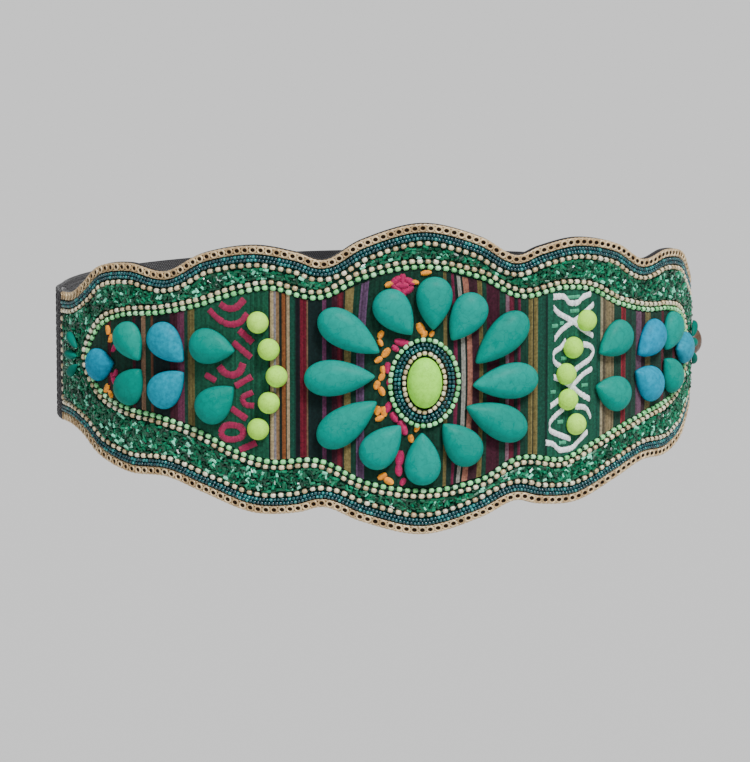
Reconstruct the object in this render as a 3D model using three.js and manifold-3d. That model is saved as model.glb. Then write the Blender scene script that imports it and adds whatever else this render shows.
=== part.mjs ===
// A beaded waist belt, closed as it is worn: a stiff scalloped front panel, sewn all over with stones and
// rows of beads, and a black elastic band round the back that buttons on to the panel's right end.
// Millimetres, +Z up, the front of the panel towards -Y. The origin is the centre of the waist, at the
// belt's mid height. Lengths along the belt run from the front centre, towards +X, on the bead face.
import * as THREE from "three";
import { mergeVertices } from "three/addons/utils/BufferGeometryUtils.js";
import Module from "manifold-3d";

const wasm = await Module();
wasm.setup();

// The waist inside the belt
const WAIST_WIDTH = 242;
const WAIST_DEPTH = 178;

// Layers, from the inside of the belt outwards, and the gaps between them and between neighbours
const LAYER_GAP = 0.4;
const CLEARANCE = 0.3;
const BACKING_THICKNESS = 2.0;
const CLOTH_THICKNESS = 1.0;
const BEAD_HEIGHT = 1.9;

// The panel
const PANEL_HALF_LENGTH = 164;
const CREST_HEIGHT = 58.4;
const FLAP_LENGTH = 11;

// Rows sewn side by side, in from the scalloped edge
const EDGE_MARGIN = 0.2;
const BRAID_WIDTH = 3.1;
const TEAL_ROWS_WIDTH = 2.6;
const ROW_WIDTH = 1.8;
const END_MARGIN = 0.6;

// Stones: pear shapes by length, width and height, and the round and oval ones
const LONG_PETAL = { length: 26.3, width: 13.6, height: 5.6 };
const SHORT_PETAL = { length: 19.8, width: 13.8, height: 5.4 };
const DROP = { length: 18.0, width: 13.4, height: 5.0 };
const SHORT_DROP = { length: 16.0, width: 12.8, height: 4.8 };
const END_DROP = { length: 14.6, width: 12.4, height: 4.6 };
const FAN_DROP = { length: 8.6, width: 3.8, height: 2.2 };
const DOT = { length: 8.2, width: 8.2, height: 4.2 };
const CENTRE_STONE = { length: 19.0, width: 13.2, height: 6.2 };

// The middle of the centre stone on the flat pattern, and the rings of beads round it
const CENTRE = { along: 0.5, up: -0.9 };
const RING_HEIGHT = 1.7;
const GOLD_RING_WIDTH = 1.7;
const TEAL_RING_WIDTH = 2.8;
const MINT_RING_WIDTH = 1.8;
const RING_ROOM_ABOVE = 0.4;
const PETAL_CLEARANCE = 1.7;

// The elastic band and its button
const ELASTIC_HEIGHT = 50;
const ELASTIC_THICKNESS = 1.4;
const ELASTIC_EASE = 16;
const BUTTON_WIDTH = 11.7;
const BUTTON_HEIGHT = 6.0;
const BUTTON_DROP = 2.3;
const SHANK_WIDTH = 3.2;
const STUD_WIDTH = 8.0;
const STUD_THICKNESS = 1.3;

// Facets
const EDGE_STEPS = 60;
const FIELD_STEPS = 52;
const END_STEPS = 3;
const RING_STEPS = 24;
const ELASTIC_STEPS = 44;

// The scalloped edge of half the panel, mirrored left and right.
// at: share of PANEL_HALF_LENGTH. top, bottom: shares of CREST_HEIGHT, up and down from mid height.
const SCALLOPS = [
  { at: 0, top: 1, bottom: 1 },
  { at: 0.14, top: 0.902, bottom: 0.909 },
  { at: 0.226, top: 0.776, bottom: 0.815 },
  { at: 0.287, top: 0.822, bottom: 0.851 },
  { at: 0.387, top: 0.861, bottom: 0.86 },
  { at: 0.512, top: 0.796, bottom: 0.745 },
  { at: 0.604, top: 0.671, bottom: 0.664 },
  { at: 0.707, top: 0.704, bottom: 0.663 },
  { at: 0.811, top: 0.654, bottom: 0.582 },
  { at: 0.872, top: 0.534, bottom: 0.479 },
  { at: 0.927, top: 0.454, bottom: 0.433 },
  { at: 1, top: 0.428, bottom: 0.428 },
];

// The width of the green beads between their two gold rows, above and below the stone field, left and
// right of the front centre. at: share of PANEL_HALF_LENGTH. The widths: shares of CREST_HEIGHT.
// The field ends in a tip at the last row, as far down as its width above.
const GREEN_WIDTHS = [
  { at: 0, aboveLeft: 0.072, aboveRight: 0.072, belowLeft: 0.082, belowRight: 0.082 },
  { at: 0.14, aboveLeft: 0.02, aboveRight: 0.036, belowLeft: 0.048, belowRight: 0.032 },
  { at: 0.238, aboveLeft: 0.038, aboveRight: 0.063, belowLeft: 0.101, belowRight: 0.076 },
  { at: 0.348, aboveLeft: 0.056, aboveRight: 0.103, belowLeft: 0.137, belowRight: 0.09 },
  { at: 0.433, aboveLeft: 0.094, aboveRight: 0.129, belowLeft: 0.152, belowRight: 0.117 },
  { at: 0.521, aboveLeft: 0.099, aboveRight: 0.163, belowLeft: 0.176, belowRight: 0.112 },
  { at: 0.622, aboveLeft: 0.07, aboveRight: 0.139, belowLeft: 0.183, belowRight: 0.114 },
  { at: 0.713, aboveLeft: 0.13, aboveRight: 0.19, belowLeft: 0.21, belowRight: 0.15 },
  { at: 0.793, aboveLeft: 0.16, aboveRight: 0.204, belowLeft: 0.208, belowRight: 0.164 },
  { at: 0.845, aboveLeft: 0.201, aboveRight: 0.248, belowLeft: 0.239, belowRight: 0.192 },
  { at: 0.869, aboveLeft: 0.304, aboveRight: 0.347, belowLeft: 0.348, belowRight: 0.305 },
];

// The petals round the centre stone. seat: where the pointed end lies, as a turn round the stone in
// degrees. reach: how far out it lies, as a share of the petal circle. turn: which way the petal points.
const PETALS = [
  { seat: 171, reach: 0.98, turn: 182, cut: LONG_PETAL },
  { seat: 145, reach: 1.08, turn: 147, cut: LONG_PETAL },
  { seat: 105, reach: 0.99, turn: 127, cut: SHORT_PETAL },
  { seat: 81, reach: 1.05, turn: 88, cut: SHORT_PETAL },
  { seat: 57, reach: 0.98, turn: 56, cut: SHORT_PETAL },
  { seat: 19, reach: 1.08, turn: 40, cut: LONG_PETAL },
  { seat: -5, reach: 0.96, turn: 3, cut: LONG_PETAL },
  { seat: -31, reach: 0.97, turn: -25, cut: LONG_PETAL },
  { seat: -66, reach: 0.9, turn: -48, cut: SHORT_PETAL },
  { seat: -93, reach: 0.98, turn: -89, cut: SHORT_PETAL },
  { seat: -120, reach: 0.95, turn: -132, cut: SHORT_PETAL },
  { seat: -160, reach: 1, turn: -144, cut: LONG_PETAL },
];

// The drops of the two wings. at, up: where the pointed end lies, as shares of PANEL_HALF_LENGTH and
// CREST_HEIGHT. turn: which way the drop points, in degrees.
const DROPS = [
  { name: "left_drop_1", at: -0.428, up: 0.185, turn: 173, cut: DROP, slot: "teal_stone" },
  { name: "left_drop_2", at: -0.432, up: -0.048, turn: 222, cut: DROP, slot: "teal_stone" },
  { name: "left_drop_3", at: -0.553, up: 0.1, turn: 138, cut: DROP, slot: "blue_stone" },
  { name: "left_drop_4", at: -0.553, up: 0.029, turn: 222, cut: DROP, slot: "blue_stone" },
  { name: "left_drop_5", at: -0.669, up: 0.083, turn: 127, cut: SHORT_DROP, slot: "teal_stone" },
  { name: "left_drop_6", at: -0.667, up: 0.024, turn: 232, cut: SHORT_DROP, slot: "teal_stone" },
  { name: "left_end_drop", at: -0.748, up: 0.044, turn: 190, cut: END_DROP, slot: "blue_stone" },
  { name: "right_drop_1", at: 0.447, up: 0.096, turn: 27, cut: DROP, slot: "teal_stone" },
  { name: "right_drop_2", at: 0.438, up: -0.117, turn: -20, cut: DROP, slot: "teal_stone" },
  { name: "right_drop_3", at: 0.576, up: 0.048, turn: 32, cut: DROP, slot: "blue_stone" },
  { name: "right_drop_4", at: 0.568, up: -0.06, turn: -31, cut: DROP, slot: "blue_stone" },
  { name: "right_drop_5", at: 0.69, up: 0.043, turn: 52, cut: SHORT_DROP, slot: "teal_stone" },
  { name: "right_drop_6", at: 0.689, up: -0.021, turn: -49, cut: SHORT_DROP, slot: "teal_stone" },
  { name: "right_end_drop", at: 0.75, up: 0.021, turn: -3, cut: END_DROP, slot: "blue_stone" },
];

// The two curved columns of round stones. at, up: the middle stone. bow: how far the end stones stand
// off from it. curve: the power of the distance by which the others do. pitch: the step from stone to
// stone. lean: the sideways step from stone to stone.
const DOT_COLUMNS = [
  { name: "left_dot", at: -0.332, up: 0.03, bow: -0.043, curve: 1.25, pitch: -0.171, lean: 0 },
  { name: "right_dot", at: 0.353, up: -0.015, bow: 0.043, curve: 1.8, pitch: -0.167, lean: -0.007 },
];
const DOTS_PER_COLUMN = 5;

// The fan of three slim drops outside each tip of the field
const FAN_TURNS = [36, 0, -34];
const FAN_GAP = 1.6;

const COLOURS = {
  black_felt: { color: 0x17161a, roughness: 0.95, metalness: 0 },
  black_elastic: { color: 0x141416, roughness: 0.8, metalness: 0 },
  brown_button: { color: 0x6e4a33, roughness: 0.5, metalness: 0 },
  gold_braid: { color: 0xb99a6b, roughness: 0.45, metalness: 0.6 },
  gold_bead: { color: 0xcdb896, roughness: 0.3, metalness: 0.6 },
  teal_bead: { color: 0x0d5a66, roughness: 0.3, metalness: 0.1 },
  mint_bead: { color: 0xa9d8a6, roughness: 0.3, metalness: 0.1 },
  green_bead: { color: 0x1d7a4c, roughness: 0.25, metalness: 0.1 },
  striped_cloth: { color: 0x1f3d33, roughness: 0.9, metalness: 0 },
  teal_stone: { color: 0x0eb2a0, roughness: 0.5, metalness: 0 },
  blue_stone: { color: 0x35a9c9, roughness: 0.5, metalness: 0 },
  lime_stone: { color: 0xbfe070, roughness: 0.5, metalness: 0 },
};

// Heights above the inside of the belt
const SEWN_LEVEL = BACKING_THICKNESS + LAYER_GAP;
const FACE_LEVEL = SEWN_LEVEL + BEAD_HEIGHT;
const STONE_LEVEL = SEWN_LEVEL + CLOTH_THICKNESS + LAYER_GAP;

// How far each row starts in from the scalloped edge
const tealInset = EDGE_MARGIN + BRAID_WIDTH + CLEARANCE;
const outerGoldInset = tealInset + TEAL_ROWS_WIDTH + CLEARANCE;
const greenInset = outerGoldInset + ROW_WIDTH + CLEARANCE;

// The bead face seen from above, starting at the front centre and running towards +X
const halfWidth = WAIST_WIDTH / 2 + FACE_LEVEL;
const halfDepth = WAIST_DEPTH / 2 + FACE_LEVEL;
const face = new THREE.EllipseCurve(0, 0, halfWidth, halfDepth, -Math.PI / 2, 1.5 * Math.PI, false);
face.arcLengthDivisions = 2000;
const girth = face.getLength();

// The belt's own directions at a length along it: the point on the bead face, outwards and forwards.
function stationAt(along) {
  const point = face.getPointAt(THREE.MathUtils.euclideanModulo(along / girth, 1));
  const outwards = new THREE.Vector3(point.x / halfWidth ** 2, point.y / halfDepth ** 2, 0).normalize();
  const forwards = new THREE.Vector3(-outwards.y, outwards.x, 0);
  return { point, outwards, forwards };
}

// A point of the belt from its length along, its height and its level above the inside of the belt.
function onBelt(along, up, level) {
  const { point, outwards } = stationAt(along);
  return new THREE.Vector3(point.x, point.y, up).addScaledVector(outwards, level - FACE_LEVEL);
}

// A smooth curve through points of the flat pattern, cut into many short steps.
function smooth(points, closed) {
  const knots = points.map((p) => new THREE.Vector3(p.x, p.y, 0));
  const curve = new THREE.CatmullRomCurve3(knots, closed, "centripetal");
  return curve.getPoints(points.length * 16).map((p) => new THREE.Vector2(p.x, p.y));
}

// The same line in equal steps.
function evenly(line, steps) {
  const lengths = [0];
  for (let i = 1; i < line.length; i++) lengths.push(lengths[i - 1] + line[i].distanceTo(line[i - 1]));
  const total = lengths.at(-1);
  let k = 0;
  return Array.from({ length: steps + 1 }, (_, i) => {
    const wanted = (total * i) / steps;
    while (k < line.length - 2 && lengths[k + 1] < wanted) k++;
    const share = (wanted - lengths[k]) / (lengths[k + 1] - lengths[k]);
    return line[k].clone().lerp(line[k + 1], share);
  });
}

// A line parallel to this one, `distance` to its left, mitred at each point.
function parallel(line, distance, closed = false) {
  const count = line.length;
  const at = (i) => (closed ? line[(i + count) % count] : line[THREE.MathUtils.clamp(i, 0, count - 1)]);
  return line.map((point, i) => {
    const before = point.clone().sub(at(i - 1)).normalize();
    const after = at(i + 1).clone().sub(point).normalize();
    const travel = before.clone().add(after).normalize();
    const mitre = travel.dot(before.lengthSq() > 0 ? before : after);
    return point.clone().addScaledVector(new THREE.Vector2(-travel.y, travel.x), distance / mitre);
  });
}

// The height of a line of the flat pattern at a length along the belt.
function heightAt(line, along) {
  let k = 0;
  while (k < line.length - 2 && line[k + 1].x < along) k++;
  return THREE.MathUtils.mapLinear(along, line[k].x, line[k + 1].x, line[k].y, line[k + 1].y);
}

// A table's points on both sides of the front centre, from left to right.
function bothSides(rows, heightOf) {
  const left = rows.slice(1).reverse().map((row) => [row, "Left", -row.at * PANEL_HALF_LENGTH]);
  const right = rows.map((row) => [row, "Right", row.at * PANEL_HALF_LENGTH]);
  return [...left, ...right].map(
    ([row, side, along]) => new THREE.Vector2(along, heightOf(row, side, along)),
  );
}

// The scalloped edges and the field's gold line, from left to right
const edgeTopKnots = bothSides(SCALLOPS, (row) => row.top * CREST_HEIGHT);
const edgeBottomKnots = bothSides(SCALLOPS, (row) => -row.bottom * CREST_HEIGHT);
const edgeTop = evenly(smooth(edgeTopKnots, false), EDGE_STEPS);
const edgeBottom = evenly(smooth(edgeBottomKnots, false), EDGE_STEPS);

function fieldLoop() {
  const greenTop = parallel(edgeTop, -greenInset);
  const greenBottom = parallel(edgeBottom, greenInset);
  const rim = CLEARANCE + ROW_WIDTH / 2;
  const above = (row, side, along) =>
    heightAt(greenTop, along) - row[`above${side}`] * CREST_HEIGHT - rim;
  const below = (row, side, along) =>
    heightAt(greenBottom, along) + row[`below${side}`] * CREST_HEIGHT + rim;
  const top = bothSides(GREEN_WIDTHS, above);
  const bottom = bothSides(GREEN_WIDTHS.slice(0, -1), below).reverse();
  const loop = smooth([...top, ...bottom], true);
  const tipIndex = loop.reduce((best, p, i) => (p.x > loop[best].x ? i : best), 0);
  return [
    ...evenly(loop.slice(0, tipIndex + 1), FIELD_STEPS).slice(0, -1),
    ...evenly(loop.slice(tipIndex), FIELD_STEPS).slice(0, -1),
  ];
}
const fieldLine = fieldLoop();
const fieldTipRight = fieldLine[FIELD_STEPS];
const fieldTipLeft = fieldLine[0];

// A closed mesh from rings of points: each ring is joined to the next, and the last to the first or
// capped. The faces are turned outwards at the end.
function loft(rings, closed) {
  const size = rings[0].length;
  const positions = rings.flat().flatMap((p) => [p.x, p.y, p.z]);
  const index = [];
  const joins = closed ? rings.length : rings.length - 1;
  for (let i = 0; i < joins; i++) {
    const here = i * size;
    const next = ((i + 1) % rings.length) * size;
    for (let j = 0; j < size; j++) {
      const k = (j + 1) % size;
      index.push(here + j, next + j, next + k, here + j, next + k, here + k);
    }
  }
  if (!closed) {
    const last = (rings.length - 1) * size;
    for (let j = 1; j < size - 1; j++) index.push(0, j, j + 1, last, last + j + 1, last + j);
  }
  return facingOut(positions, index);
}

function facingOut(positions, index) {
  const corner = (i) => new THREE.Vector3().fromArray(positions, 3 * index[i]);
  let volume = 0;
  for (let i = 0; i < index.length; i += 3) volume += corner(i).dot(corner(i + 1).cross(corner(i + 2)));
  if (volume < 0) index.reverse();
  const geometry = new THREE.BufferGeometry();
  geometry.setAttribute("position", new THREE.Float32BufferAttribute(positions, 3));
  geometry.setIndex(index);
  return geometry;
}

// A plate of the belt between two matched lines of the flat pattern, from a low level to a high one.
// crown narrows its outer face on each side. The levels may change along the belt.
function plate(lineA, lineB, low, high, { closed = false, crown = 0 } = {}) {
  const level = (value, along) => (typeof value === "function" ? value(along) : value);
  const rings = lineA.map((a, i) => {
    const b = lineB[i];
    const crownShare = crown / a.distanceTo(b);
    const crownA = a.clone().lerp(b, crownShare);
    const crownB = b.clone().lerp(a, crownShare);
    return [
      onBelt(a.x, a.y, level(low, a.x)),
      onBelt(b.x, b.y, level(low, b.x)),
      onBelt(crownB.x, crownB.y, level(high, crownB.x)),
      onBelt(crownA.x, crownA.y, level(high, crownA.x)),
    ];
  });
  return loft(rings, closed);
}

// A three.js geometry as a solid that can be cut, and back.
function toSolid(geometry) {
  const bare = geometry.clone();
  bare.deleteAttribute("normal");
  bare.deleteAttribute("uv");
  const merged = mergeVertices(bare, 1e-4);
  return new wasm.Manifold(
    new wasm.Mesh({
      numProp: 3,
      vertProperties: merged.attributes.position.array,
      triVerts: new Uint32Array(merged.index.array),
    }),
  );
}

function toGeometry(solid) {
  const mesh = solid.getMesh();
  const geometry = new THREE.BufferGeometry();
  geometry.setAttribute("position", new THREE.BufferAttribute(new Float32Array(mesh.vertProperties), 3));
  geometry.setIndex(new THREE.BufferAttribute(new Uint32Array(mesh.triVerts), 1));
  return geometry;
}

function cut(geometry, tool) {
  return toGeometry(toSolid(geometry).subtract(toSolid(tool)));
}

const belt = new THREE.Group();
belt.name = "beaded_belt";

function add(name, slot, geometry) {
  const mesh = new THREE.Mesh(geometry, new THREE.MeshStandardMaterial(COLOURS[slot]));
  mesh.name = name;
  belt.add(mesh);
  return mesh;
}

// Turns a mesh so that its own Z points out of the belt, seats it at a level, and turns it on its seat.
function seat(mesh, along, up, level, turnDegrees = 0) {
  const { outwards, forwards } = stationAt(along);
  const turn = THREE.MathUtils.degToRad(turnDegrees);
  const lengthways = forwards.clone().multiplyScalar(Math.cos(turn));
  lengthways.z = Math.sin(turn);
  const crossways = outwards.clone().cross(lengthways);
  mesh.quaternion.setFromRotationMatrix(
    new THREE.Matrix4().makeBasis(lengthways, crossways, outwards),
  );
  mesh.position.copy(onBelt(along, up, level));
}

// Where the button stands
const buttonAlong = PANEL_HALF_LENGTH + CLEARANCE + BUTTON_WIDTH / 2;
const elasticLevel = BACKING_THICKNESS + LAYER_GAP;
const flapEnd = Math.max(PANEL_HALF_LENGTH + FLAP_LENGTH, buttonAlong + STUD_WIDTH / 2 + 1);

// A plain round pin along the button's axis, to cut the holes that its shank goes through.
function shankHole() {
  const reach = 4 * BUTTON_HEIGHT;
  const radius = SHANK_WIDTH / 2 + CLEARANCE;
  const pin = new THREE.CylinderGeometry(radius, radius, reach, 12).rotateX(Math.PI / 2);
  const mesh = new THREE.Mesh(pin);
  seat(mesh, buttonAlong, -BUTTON_DROP, elasticLevel);
  mesh.updateMatrix();
  return pin.applyMatrix4(mesh.matrix);
}

// The felt backing, as wide as the scallops, with a plain flap past each end of the beadwork.
function addBacking() {
  const half = ELASTIC_HEIGHT / 2;
  const middle = (PANEL_HALF_LENGTH + flapEnd) / 2;
  const left = (up) => [-flapEnd, -middle].map((along) => new THREE.Vector2(along, up));
  const right = (up) => [middle, flapEnd].map((along) => new THREE.Vector2(along, up));
  const top = [...left(half), ...edgeTop, ...right(half)];
  const bottom = [...left(-half), ...edgeBottom, ...right(-half)];
  const sheet = plate(top, bottom, 0, BACKING_THICKNESS);
  add("backing_panel", "black_felt", cut(sheet, shankHole()));
}

// The elastic runs over one flap, round the back and over the other. Behind the flaps it eases inwards.
function addElastic() {
  const start = PANEL_HALF_LENGTH + CLEARANCE;
  const end = girth - start;
  const low = (along) => {
    const pastFlap = Math.min(along, girth - along) - flapEnd;
    const eased = THREE.MathUtils.smoothstep(pastFlap, 1, 1 + ELASTIC_EASE);
    return THREE.MathUtils.lerp(elasticLevel, LAYER_GAP, eased);
  };
  const line = (up) =>
    Array.from({ length: ELASTIC_STEPS + 1 }, (_, i) =>
      new THREE.Vector2(THREE.MathUtils.lerp(start, end, i / ELASTIC_STEPS), up));
  const band = plate(line(ELASTIC_HEIGHT / 2), line(-ELASTIC_HEIGHT / 2), low, (along) =>
    low(along) + ELASTIC_THICKNESS);
  add("elastic_band", "black_elastic", cut(band, shankHole()));
}

// How far the belt's tightest curve stands off a flat piece of this width.
function bulge(width) {
  return (width / 2) ** 2 / (2 * (WAIST_DEPTH ** 2 / WAIST_WIDTH / 2));
}

// The button, its shank and the stud inside the belt are one turned piece.
function addButton() {
  const under = elasticLevel + ELASTIC_THICKNESS + LAYER_GAP;
  const inside = -LAYER_GAP - bulge(STUD_WIDTH);
  const radius = BUTTON_WIDTH / 2;
  const rim = BUTTON_HEIGHT * 0.2;
  const profile = [
    new THREE.Vector2(0, inside - STUD_THICKNESS),
    new THREE.Vector2(STUD_WIDTH / 2, inside - STUD_THICKNESS),
    new THREE.Vector2(STUD_WIDTH / 2, inside),
    new THREE.Vector2(SHANK_WIDTH / 2, inside),
    new THREE.Vector2(SHANK_WIDTH / 2, under),
    new THREE.Vector2(radius * 0.92, under),
  ];
  for (const angle of [0, 25, 50, 72]) {
    const a = THREE.MathUtils.degToRad(angle);
    const dome = BUTTON_HEIGHT - rim;
    profile.push(new THREE.Vector2(radius * Math.cos(a), under + rim + dome * Math.sin(a)));
  }
  profile.push(new THREE.Vector2(0, under + BUTTON_HEIGHT));
  const turned = new THREE.LatheGeometry(profile, 14).rotateX(Math.PI / 2);
  seat(add("side_button", "brown_button", turned), buttonAlong, -BUTTON_DROP, 0);
}

// The braid and the teal rows follow the top and the bottom edge from end to end.
function addEdgeRows() {
  const rows = [
    { name: "edge_braid", slot: "gold_braid", inset: EDGE_MARGIN, width: BRAID_WIDTH },
    { name: "teal_rows", slot: "teal_bead", inset: tealInset, width: TEAL_ROWS_WIDTH },
  ];
  for (const { name, slot, inset, width } of rows) {
    for (const [end, edge, inwards] of [["top", edgeTop, -1], ["bottom", edgeBottom, 1]]) {
      const near = parallel(edge, inwards * inset);
      const far = parallel(edge, inwards * (inset + width));
      const crown = width * 0.2;
      add(`${name}_${end}`, slot, plate(near, far, SEWN_LEVEL, FACE_LEVEL, { crown }));
    }
  }
}

// The panel's edge moved in by `inset`, with its two ends `endInset` in from the ends of the panel.
function insetEdges(inset, endInset) {
  const lines = [parallel(edgeTop, -inset), parallel(edgeBottom, inset)];
  for (const line of lines) {
    line[0].x = -(PANEL_HALF_LENGTH - endInset);
    line.at(-1).x = PANEL_HALF_LENGTH - endInset;
  }
  return lines;
}

function insetLoop(inset, endInset) {
  const [top, bottom] = insetEdges(inset, endInset);
  const between = (from, to) =>
    Array.from({ length: END_STEPS - 1 }, (_, i) => from.clone().lerp(to, (i + 1) / END_STEPS));
  const backwards = bottom.reverse();
  return [...top, ...between(top.at(-1), backwards[0]), ...backwards, ...between(backwards.at(-1), top[0])];
}

// One row of gold beads goes right round inside the teal rows and down both ends.
function addOuterGoldRow() {
  const outer = insetLoop(outerGoldInset, END_MARGIN);
  const inner = insetLoop(outerGoldInset + ROW_WIDTH, END_MARGIN + ROW_WIDTH);
  const options = { closed: true, crown: ROW_WIDTH * 0.25 };
  add("outer_gold_row", "gold_bead", plate(outer, inner, SEWN_LEVEL, FACE_LEVEL, options));
}

// The green beads fill the panel up to the stone field, which is cut out of them.
function addGreenBand() {
  const [top, bottom] = insetEdges(greenInset, END_MARGIN + ROW_WIDTH + CLEARANCE);
  const filled = plate(top, bottom, SEWN_LEVEL, FACE_LEVEL);
  const field = fieldPlate(ROW_WIDTH / 2 + CLEARANCE, SEWN_LEVEL - 1, FACE_LEVEL + 1);
  add("green_bead_band", "green_bead", cut(filled, field));
}

// A plate of the stone field's shape, `grow` larger all round than its gold line.
function fieldPlate(grow, low, high) {
  const loop = parallel(fieldLine, grow, true);
  const top = loop.slice(1, FIELD_STEPS);
  const bottom = loop.slice(FIELD_STEPS + 1).reverse();
  const tip = (point, other) => point.clone().lerp(other, 0.02);
  const left = loop[0];
  const right = loop[FIELD_STEPS];
  const upper = [tip(left, top[0]), ...top, tip(right, top.at(-1))];
  const lower = [tip(left, bottom[0]), ...bottom, tip(right, bottom.at(-1))];
  return plate(upper, lower, low, high);
}

// The gold row and the mint row that go round the stone field.
function addFieldRows() {
  const rows = [
    { name: "field_gold_row", slot: "gold_bead", outer: ROW_WIDTH / 2 },
    { name: "field_mint_row", slot: "mint_bead", outer: -ROW_WIDTH / 2 - CLEARANCE },
  ];
  for (const { name, slot, outer } of rows) {
    const near = parallel(fieldLine, outer, true);
    const far = parallel(fieldLine, outer - ROW_WIDTH, true);
    const options = { closed: true, crown: ROW_WIDTH * 0.25 };
    add(name, slot, plate(near, far, SEWN_LEVEL, FACE_LEVEL, options));
  }
}

function addCloth() {
  const shrink = 1.5 * ROW_WIDTH + 2 * CLEARANCE;
  add("striped_cloth", "striped_cloth", fieldPlate(-shrink, SEWN_LEVEL, SEWN_LEVEL + CLOTH_THICKNESS));
}

// The plan of a stone, centred, pointed at -X when `point` is above zero and round at +X.
function stonePlan({ length, width }, sides, point) {
  const widest = 2 * ((point + 1) / (point + 2)) ** ((point + 1) / 2) * (1 / (point + 2)) ** 0.5;
  return Array.from({ length: sides }, (_, i) => {
    const angle = (2 * Math.PI * i) / sides;
    const taper = point > 0 ? Math.sin(angle / 2) ** point / widest : 1;
    return new THREE.Vector2((-Math.cos(angle) * length) / 2, (Math.sin(angle) * taper * width) / 2);
  });
}

// A flat-backed stone: an upright girdle and a dome that closes over the middle of its round end.
function cabochon(cut, { sides = 12, point = 0.8 } = {}) {
  const domeRings = [
    { inwards: 0, up: 0 },
    { inwards: 0.02, up: 0.38 },
    { inwards: 0.3, up: 0.84 },
  ];
  const plan = stonePlan(cut, sides, point);
  const heart = new THREE.Vector2(point > 0 ? cut.length * 0.1 : 0, 0);
  const positions = [];
  for (const { inwards, up } of domeRings) {
    for (const p of plan) {
      const q = p.clone().lerp(heart, inwards);
      positions.push(q.x, q.y, up * cut.height);
    }
  }
  const apex = positions.length / 3;
  positions.push(heart.x, heart.y, cut.height, heart.x, heart.y, 0);
  const index = [];
  for (let j = 0; j < sides; j++) {
    const k = (j + 1) % sides;
    for (let ring = 0; ring < domeRings.length - 1; ring++) {
      const low = ring * sides;
      const high = low + sides;
      index.push(low + j, low + k, high + k, low + j, high + k, high + j);
    }
    const last = (domeRings.length - 1) * sides;
    index.push(last + j, last + k, apex, k, j, apex + 1);
  }
  return facingOut(positions, index);
}

// Seats a pear-shaped stone with its pointed end at a place on the flat pattern.
function addPear(name, slot, tip, turn, cut, level, sides = 12) {
  const radians = THREE.MathUtils.degToRad(turn);
  const middle = new THREE.Vector2(Math.cos(radians), Math.sin(radians))
    .multiplyScalar(cut.length / 2)
    .add(tip);
  seat(add(name, slot, cabochon(cut, { sides })), middle.x, middle.y, level, turn);
}

// An upright ellipse round the centre stone.
function ellipseLine(halfLong, halfHigh) {
  return Array.from({ length: RING_STEPS }, (_, i) => {
    const angle = (-2 * Math.PI * i) / RING_STEPS;
    return new THREE.Vector2(
      CENTRE.along + halfLong * Math.cos(angle),
      CENTRE.up + halfHigh * Math.sin(angle),
    );
  });
}

// The centre stone stands upright in three rings of beads, and the petals stand round the rings.
function addCentre() {
  const stone = cabochon(CENTRE_STONE, { sides: 16, point: 0 });
  seat(add("centre_stone", "lime_stone", stone), CENTRE.along, CENTRE.up, STONE_LEVEL, 90);
  const rings = [
    { name: "centre_gold_ring", slot: "gold_bead", width: GOLD_RING_WIDTH },
    { name: "centre_teal_ring", slot: "teal_bead", width: TEAL_RING_WIDTH },
    { name: "centre_mint_ring", slot: "mint_bead", width: MINT_RING_WIDTH },
  ];
  let across = CENTRE_STONE.width / 2 + CLEARANCE;
  let high = CENTRE_STONE.length / 2 + CLEARANCE + RING_ROOM_ABOVE;
  for (const { name, slot, width } of rings) {
    const inner = ellipseLine(across, high);
    const outer = ellipseLine(across + width, high + width);
    const options = { closed: true, crown: width * 0.22 };
    add(name, slot, plate(outer, inner, STONE_LEVEL, STONE_LEVEL + RING_HEIGHT, options));
    across += width + CLEARANCE;
    high += width + CLEARANCE;
  }
  const petalCircle = high + PETAL_CLEARANCE;
  PETALS.forEach(({ seat: place, reach, turn, cut }, i) => {
    const angle = THREE.MathUtils.degToRad(place);
    const tip = new THREE.Vector2(CENTRE.along, CENTRE.up);
    tip.x += reach * petalCircle * Math.cos(angle);
    tip.y += reach * petalCircle * Math.sin(angle);
    const name = `petal_${String(i + 1).padStart(2, "0")}`;
    addPear(name, "teal_stone", tip, turn, cut, STONE_LEVEL);
  });
}

function addWings() {
  for (const { name, at, up, turn, cut, slot } of DROPS) {
    const tip = new THREE.Vector2(at * PANEL_HALF_LENGTH, up * CREST_HEIGHT);
    addPear(name, slot, tip, turn, cut, STONE_LEVEL);
  }
  const middle = (DOTS_PER_COLUMN - 1) / 2;
  for (const { name, at, up, bow, curve, pitch, lean } of DOT_COLUMNS) {
    for (let i = 0; i < DOTS_PER_COLUMN; i++) {
      const step = i - middle;
      const along = (at + bow * Math.abs(step / middle) ** curve + lean * step) * PANEL_HALF_LENGTH;
      const dot = cabochon(DOT, { point: 0 });
      const height = (up + pitch * step) * CREST_HEIGHT;
      seat(add(`${name}_${i + 1}`, "lime_stone", dot), along, height, STONE_LEVEL);
    }
  }
}

// Each fan lies on the green beads, just outside a tip of the stone field.
function addFans() {
  const level = FACE_LEVEL + LAYER_GAP;
  const fans = [
    { name: "left_fan", side: -1, tip: fieldTipLeft },
    { name: "right_fan", side: 1, tip: fieldTipRight },
  ];
  for (const { name, side, tip } of fans) {
    FAN_TURNS.forEach((turn, i) => {
      const spread = THREE.MathUtils.degToRad(turn);
      const away = ROW_WIDTH / 2 + FAN_GAP;
      const start = new THREE.Vector2(
        tip.x + side * away * Math.cos(spread),
        tip.y + 2.2 * away * Math.sin(spread),
      );
      addPear(`${name}_${i + 1}`, "teal_stone", start, side > 0 ? turn : 180 - turn, FAN_DROP, level, 8);
    });
  }
}

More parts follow.
